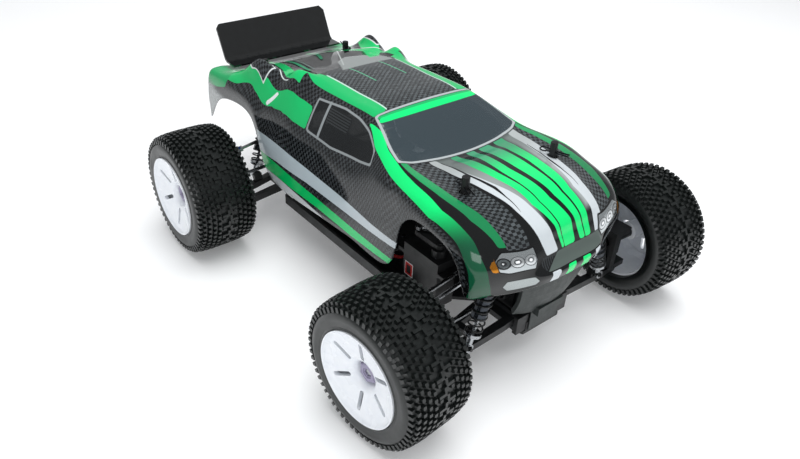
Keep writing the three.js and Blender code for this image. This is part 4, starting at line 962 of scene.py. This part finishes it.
leadRow = {
    "red lead": {"finish": "red silicone insulation", "path": [
        (62, -40, 46), (63, -47, 46), (54, -54, 47), (36, -60, 49), (16, -64.5, 50), (-2, -66, 50.5),
        (-14, -66, 51), (-26, -65.5, 50.5), (-36, -64, 48), (-46, -59, 45), (-52, -50, 43)]},
    "black lead": {"finish": "black silicone insulation", "path": [
        (62, -36, 52), (64, -43, 52), (56, -50, 51), (36, -54, 49), (14, -56, 47.5), (-6, -56.5, 47),
        (-24, -57, 47), (-40, -56, 47), (-50, -51, 47), (-54, -45, 47)]},
}
for name, spec in leadRow.items():
    path = smoothPath([packedRow(*p) for p in spec["path"]])
    points, faces = tubeMesh(path, 1.5 * mm, 10)
    lead = makeMesh(name, points, faces, spec["finish"], sharp=60)
    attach(lead, "chassis")
bullet("bullet connector red", packedRow(-1, -66, 50.6), (-1, -0.01, 0.02), "chassis")
bullet("bullet connector black", packedRow(14.5, -64.7, 50.1), (-1, -0.08, 0.03), "chassis")

# radio plug with its pale housing, and a plain red label with a pale border on the servo case
plugRow = [(51.5, -58, 54), (60, -58, 56.5), (66, -57, 59), (70, -54, 62), (72, -50, 63)]
plugPath = smoothPath([packedRow(*p) for p in plugRow[1:]])
points, faces = tubeMesh(plugPath, 1.1 * mm, 8)
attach(makeMesh("radio wire", points, faces, "black silicone insulation", sharp=60), "chassis")
housing = [(-4.5, -1.6, -2), (-4.5, 1.6, -2), (4.5, 1.9, -2.3), (4.5, -1.9, -2.3),
           (-4.5, -1.6, 2), (-4.5, 1.6, 2), (4.5, 1.9, 2.3), (4.5, -1.9, 2.3)]
boxFaces = [(0, 1, 2, 3), (7, 6, 5, 4), (0, 4, 5, 1), (1, 5, 6, 2), (2, 6, 7, 3), (3, 7, 4, 0)]
tilt = Matrix.Translation(packedRow(*plugRow[0])) @ Matrix.Rotation(math.radians(-16), 4, "Y")
points = [tuple(tilt @ Vector(packedRow(*p))) for p in housing]
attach(makeMesh("radio plug", points, boxFaces, "pale nylon housing", smooth=False), "chassis")
servoLow = chassisBox["steering_servo"][0]
for name, inset, finish in (("border", 0, "pale label film"), ("panel", 0.7, "red label film"),
                            ("bar", 2.6, "black label film")):
    skin = servoLow.y - (0.05 + 0.05 * (inset > 0) + 0.05 * (inset > 2)) * mm
    left, right = servoLow.x + (9 + inset) * mm, servoLow.x + (19 - inset) * mm
    foot, top = (47 + inset) * mm, (60 - inset) * mm
    points = [(left, skin, foot), (right, skin, foot), (right, skin, top), (left, skin, top)]
    film = makeMesh("servo label " + name, points, [(0, 1, 2, 3)], finish, smooth=False)
    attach(film, "chassis")

# hook-and-loop strap over the battery, 16 mm wide
low, high = chassisBox["battery_pack"]
strapLift = 0.5
strapRing = []
for step in range(0, 13):
    share = step / 12
    strapRing.append((low.y - 0.7 * mm + (high.y - low.y + 1.4 * mm) * share,
                      high.z + strapLift * mm + 0.9 * mm * math.sin(math.pi * share) ** 0.5 * 0.6))
strapRing = [(low.y - 0.9 * mm, low.z + 1 * mm)] + strapRing + [(high.y + 0.9 * mm, low.z + 1 * mm)]
points, faces = [], []
for k, (y, z) in enumerate(strapRing):
    for x in (-8, 8):
        points.append(((6 + x) * mm, y, z))
    if k:
        a = 2 * (k - 1)
        faces.append((a, a + 1, a + 3, a + 2))
strap = makeMesh("battery strap", points, faces, "moulded nylon, short fibre", sharp=60)
thick = strap.modifiers.new("webbing thickness", "SOLIDIFY")
thick.thickness = 1.0 * mm
thick.offset = 0
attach(strap, "chassis")

# body clips: a bent wire pin through each body post, lying on the shell
clipLoop = []
for k in range(2, 21):
    angle = math.pi * (0.5 + 1.6 * k / 24)
    clipLoop.append((3.2 * math.cos(angle) - 7.5, 3.2 * math.sin(angle), 0.4))
clipPath = [(13, 1.7, 0.3), (4, 1.5, 0.2), (-2, 2.2, 0.2), (-5, 3.1, 0.4)] + clipLoop
clipPath += [(-4, -2.0, 0.4), (1.5, -1.3, 0.8), (5, -2.3, 0.6), (9, -1.6, 0.3), (13, -2.4, 0.3)]
for k, (x, y, z, yaw) in enumerate([(107, 47, 145.6, 20), (107, -47, 145.6, -20), (-170, 46.5, 145.2, 160),
                                    (-170, -46.5, 145.2, -160)]):
    spot = Matrix.Translation(((x + overhang) * mm, y * mm, z * mm))
    turn = spot @ Matrix.Rotation(math.radians(yaw), 4, "Z")
    knots = [tuple(turn @ (Vector(p) * mm)) for p in clipPath]
    points, faces = tubeMesh(smoothPath(knots, 6), 0.6 * mm, 8)
    clip = makeMesh(f"body clip {k + 1}", points, faces, "blackened screw steel", sharp=60)
    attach(clip, "shell")

# wing ribs: short moulded webs along the lower flange
for k in range(9):
    y = (-52 + 13 * k) * mm
    rib = [(-0.2043, 0.1352), (-0.2043, 0.1374), (-0.1985, 0.1368), (-0.1985, 0.1352)]
    points = [(x, y + dy, z) for dy in (-0.0006, 0.0006) for x, z in rib]
    web = makeMesh(f"wing rib {k + 1}", points, boxFaces, "gloss black moulding", smooth=False)
    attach(web, "shell")


print("stage: studio")


def studioFloor():
    material, tree, shader = startMaterial("painted studio floor")
    shader.inputs["Base Color"].default_value = linear("#F4F5F6")
    shader.inputs["Emission Color"].default_value = linear("#FFFFFF")
    shader.inputs["Emission Strength"].default_value = 0.12
    shader.inputs["Roughness"].default_value = 0.6
    shader.inputs["IOR"].default_value = 1.45
    points = []
    for x in (-6, 6):
        points += [(x, -6, 0), (x, 4, 0)]
        bend = np.linspace(0.1, math.pi / 2, 10)
        points += [(x, 4 + 1.5 * math.sin(a), 1.5 - 1.5 * math.cos(a)) for a in bend]
        points += [(x, 5.5, 5)]
    n = len(points) // 2
    faces = [(i, n + i, n + i + 1, i + 1) for i in range(n - 1)]
    floor = makeMesh("studio floor", points, faces, material, sharp=80)
    # turned so the sweep rises behind the truck as the camera sees it
    floor.matrix_world = Matrix.Rotation(math.radians(49), 4, "Z")


def softLight(name, place, aim, size, watts, tint, mirrored=True):
    lamp = bpy.data.lights.new(name, "AREA")
    lamp.shape = "RECTANGLE"
    lamp.size, lamp.size_y = size
    lamp.energy = watts
    lamp.color = linear(tint)[:3]
    thing = bpy.data.objects.new(name.replace(" ", "_"), lamp)
    bpy.context.scene.collection.objects.link(thing)
    thing.visible_glossy = mirrored
    look = (Vector(aim) - Vector(place)).to_track_quat("-Z", "Y").to_matrix().to_4x4()
    thing.matrix_world = Matrix.Translation(place) @ look


studioFloor()
softLight("overhead softbox", (0.1, 0.1, 1.5), (0, 0, 0.05), (1.8, 1.5), 27, "#FFFFFF", mirrored=False)
softLight("camera side softbox", (1.2, -1.3, 0.9), (0, 0, 0.08), (0.85, 0.6), 6, "#FAFCFF")
softLight("low fill", (0.4, -1.6, 0.45), (0, 0, 0.06), (1.0, 0.5), 2.5, "#FFFFFF", mirrored=False)
softLight("front strip", (1.5, 0.5, 0.6), (0.1, 0, 0.1), (0.25, 0.9), 2.5, "#FFFFFF", mirrored=False)
softLight("rear rim strip", (-1.2, 0.9, 1.0), (-0.1, 0, 0.1), (0.3, 0.9), 1.5, "#F4F8FF", mirrored=False)
world = bpy.data.worlds.new("studio air")
bpy.context.scene.world = world
world.use_nodes = True
world.node_tree.nodes["Background"].inputs["Color"].default_value = linear("#F4F6F8")
world.node_tree.nodes["Background"].inputs["Strength"].default_value = 0.36

camera = bpy.data.cameras.new("three-quarter view")
camera.lens = 32.36
camera.sensor_width = 36
camera.clip_start = 0.01
view = bpy.data.objects.new("three-quarter view", camera)
bpy.context.scene.collection.objects.link(view)
tilt, roll, heading = 55.96, -2.62, 50.97  # degrees
view.rotation_euler = [math.radians(v) for v in (tilt, roll, heading)]
view.location = (0.4306, -0.3677, 0.4027)
bpy.context.scene.camera = view
bpy.context.scene.view_settings.view_transform = "Standard"

bpy.context.view_layer.update()
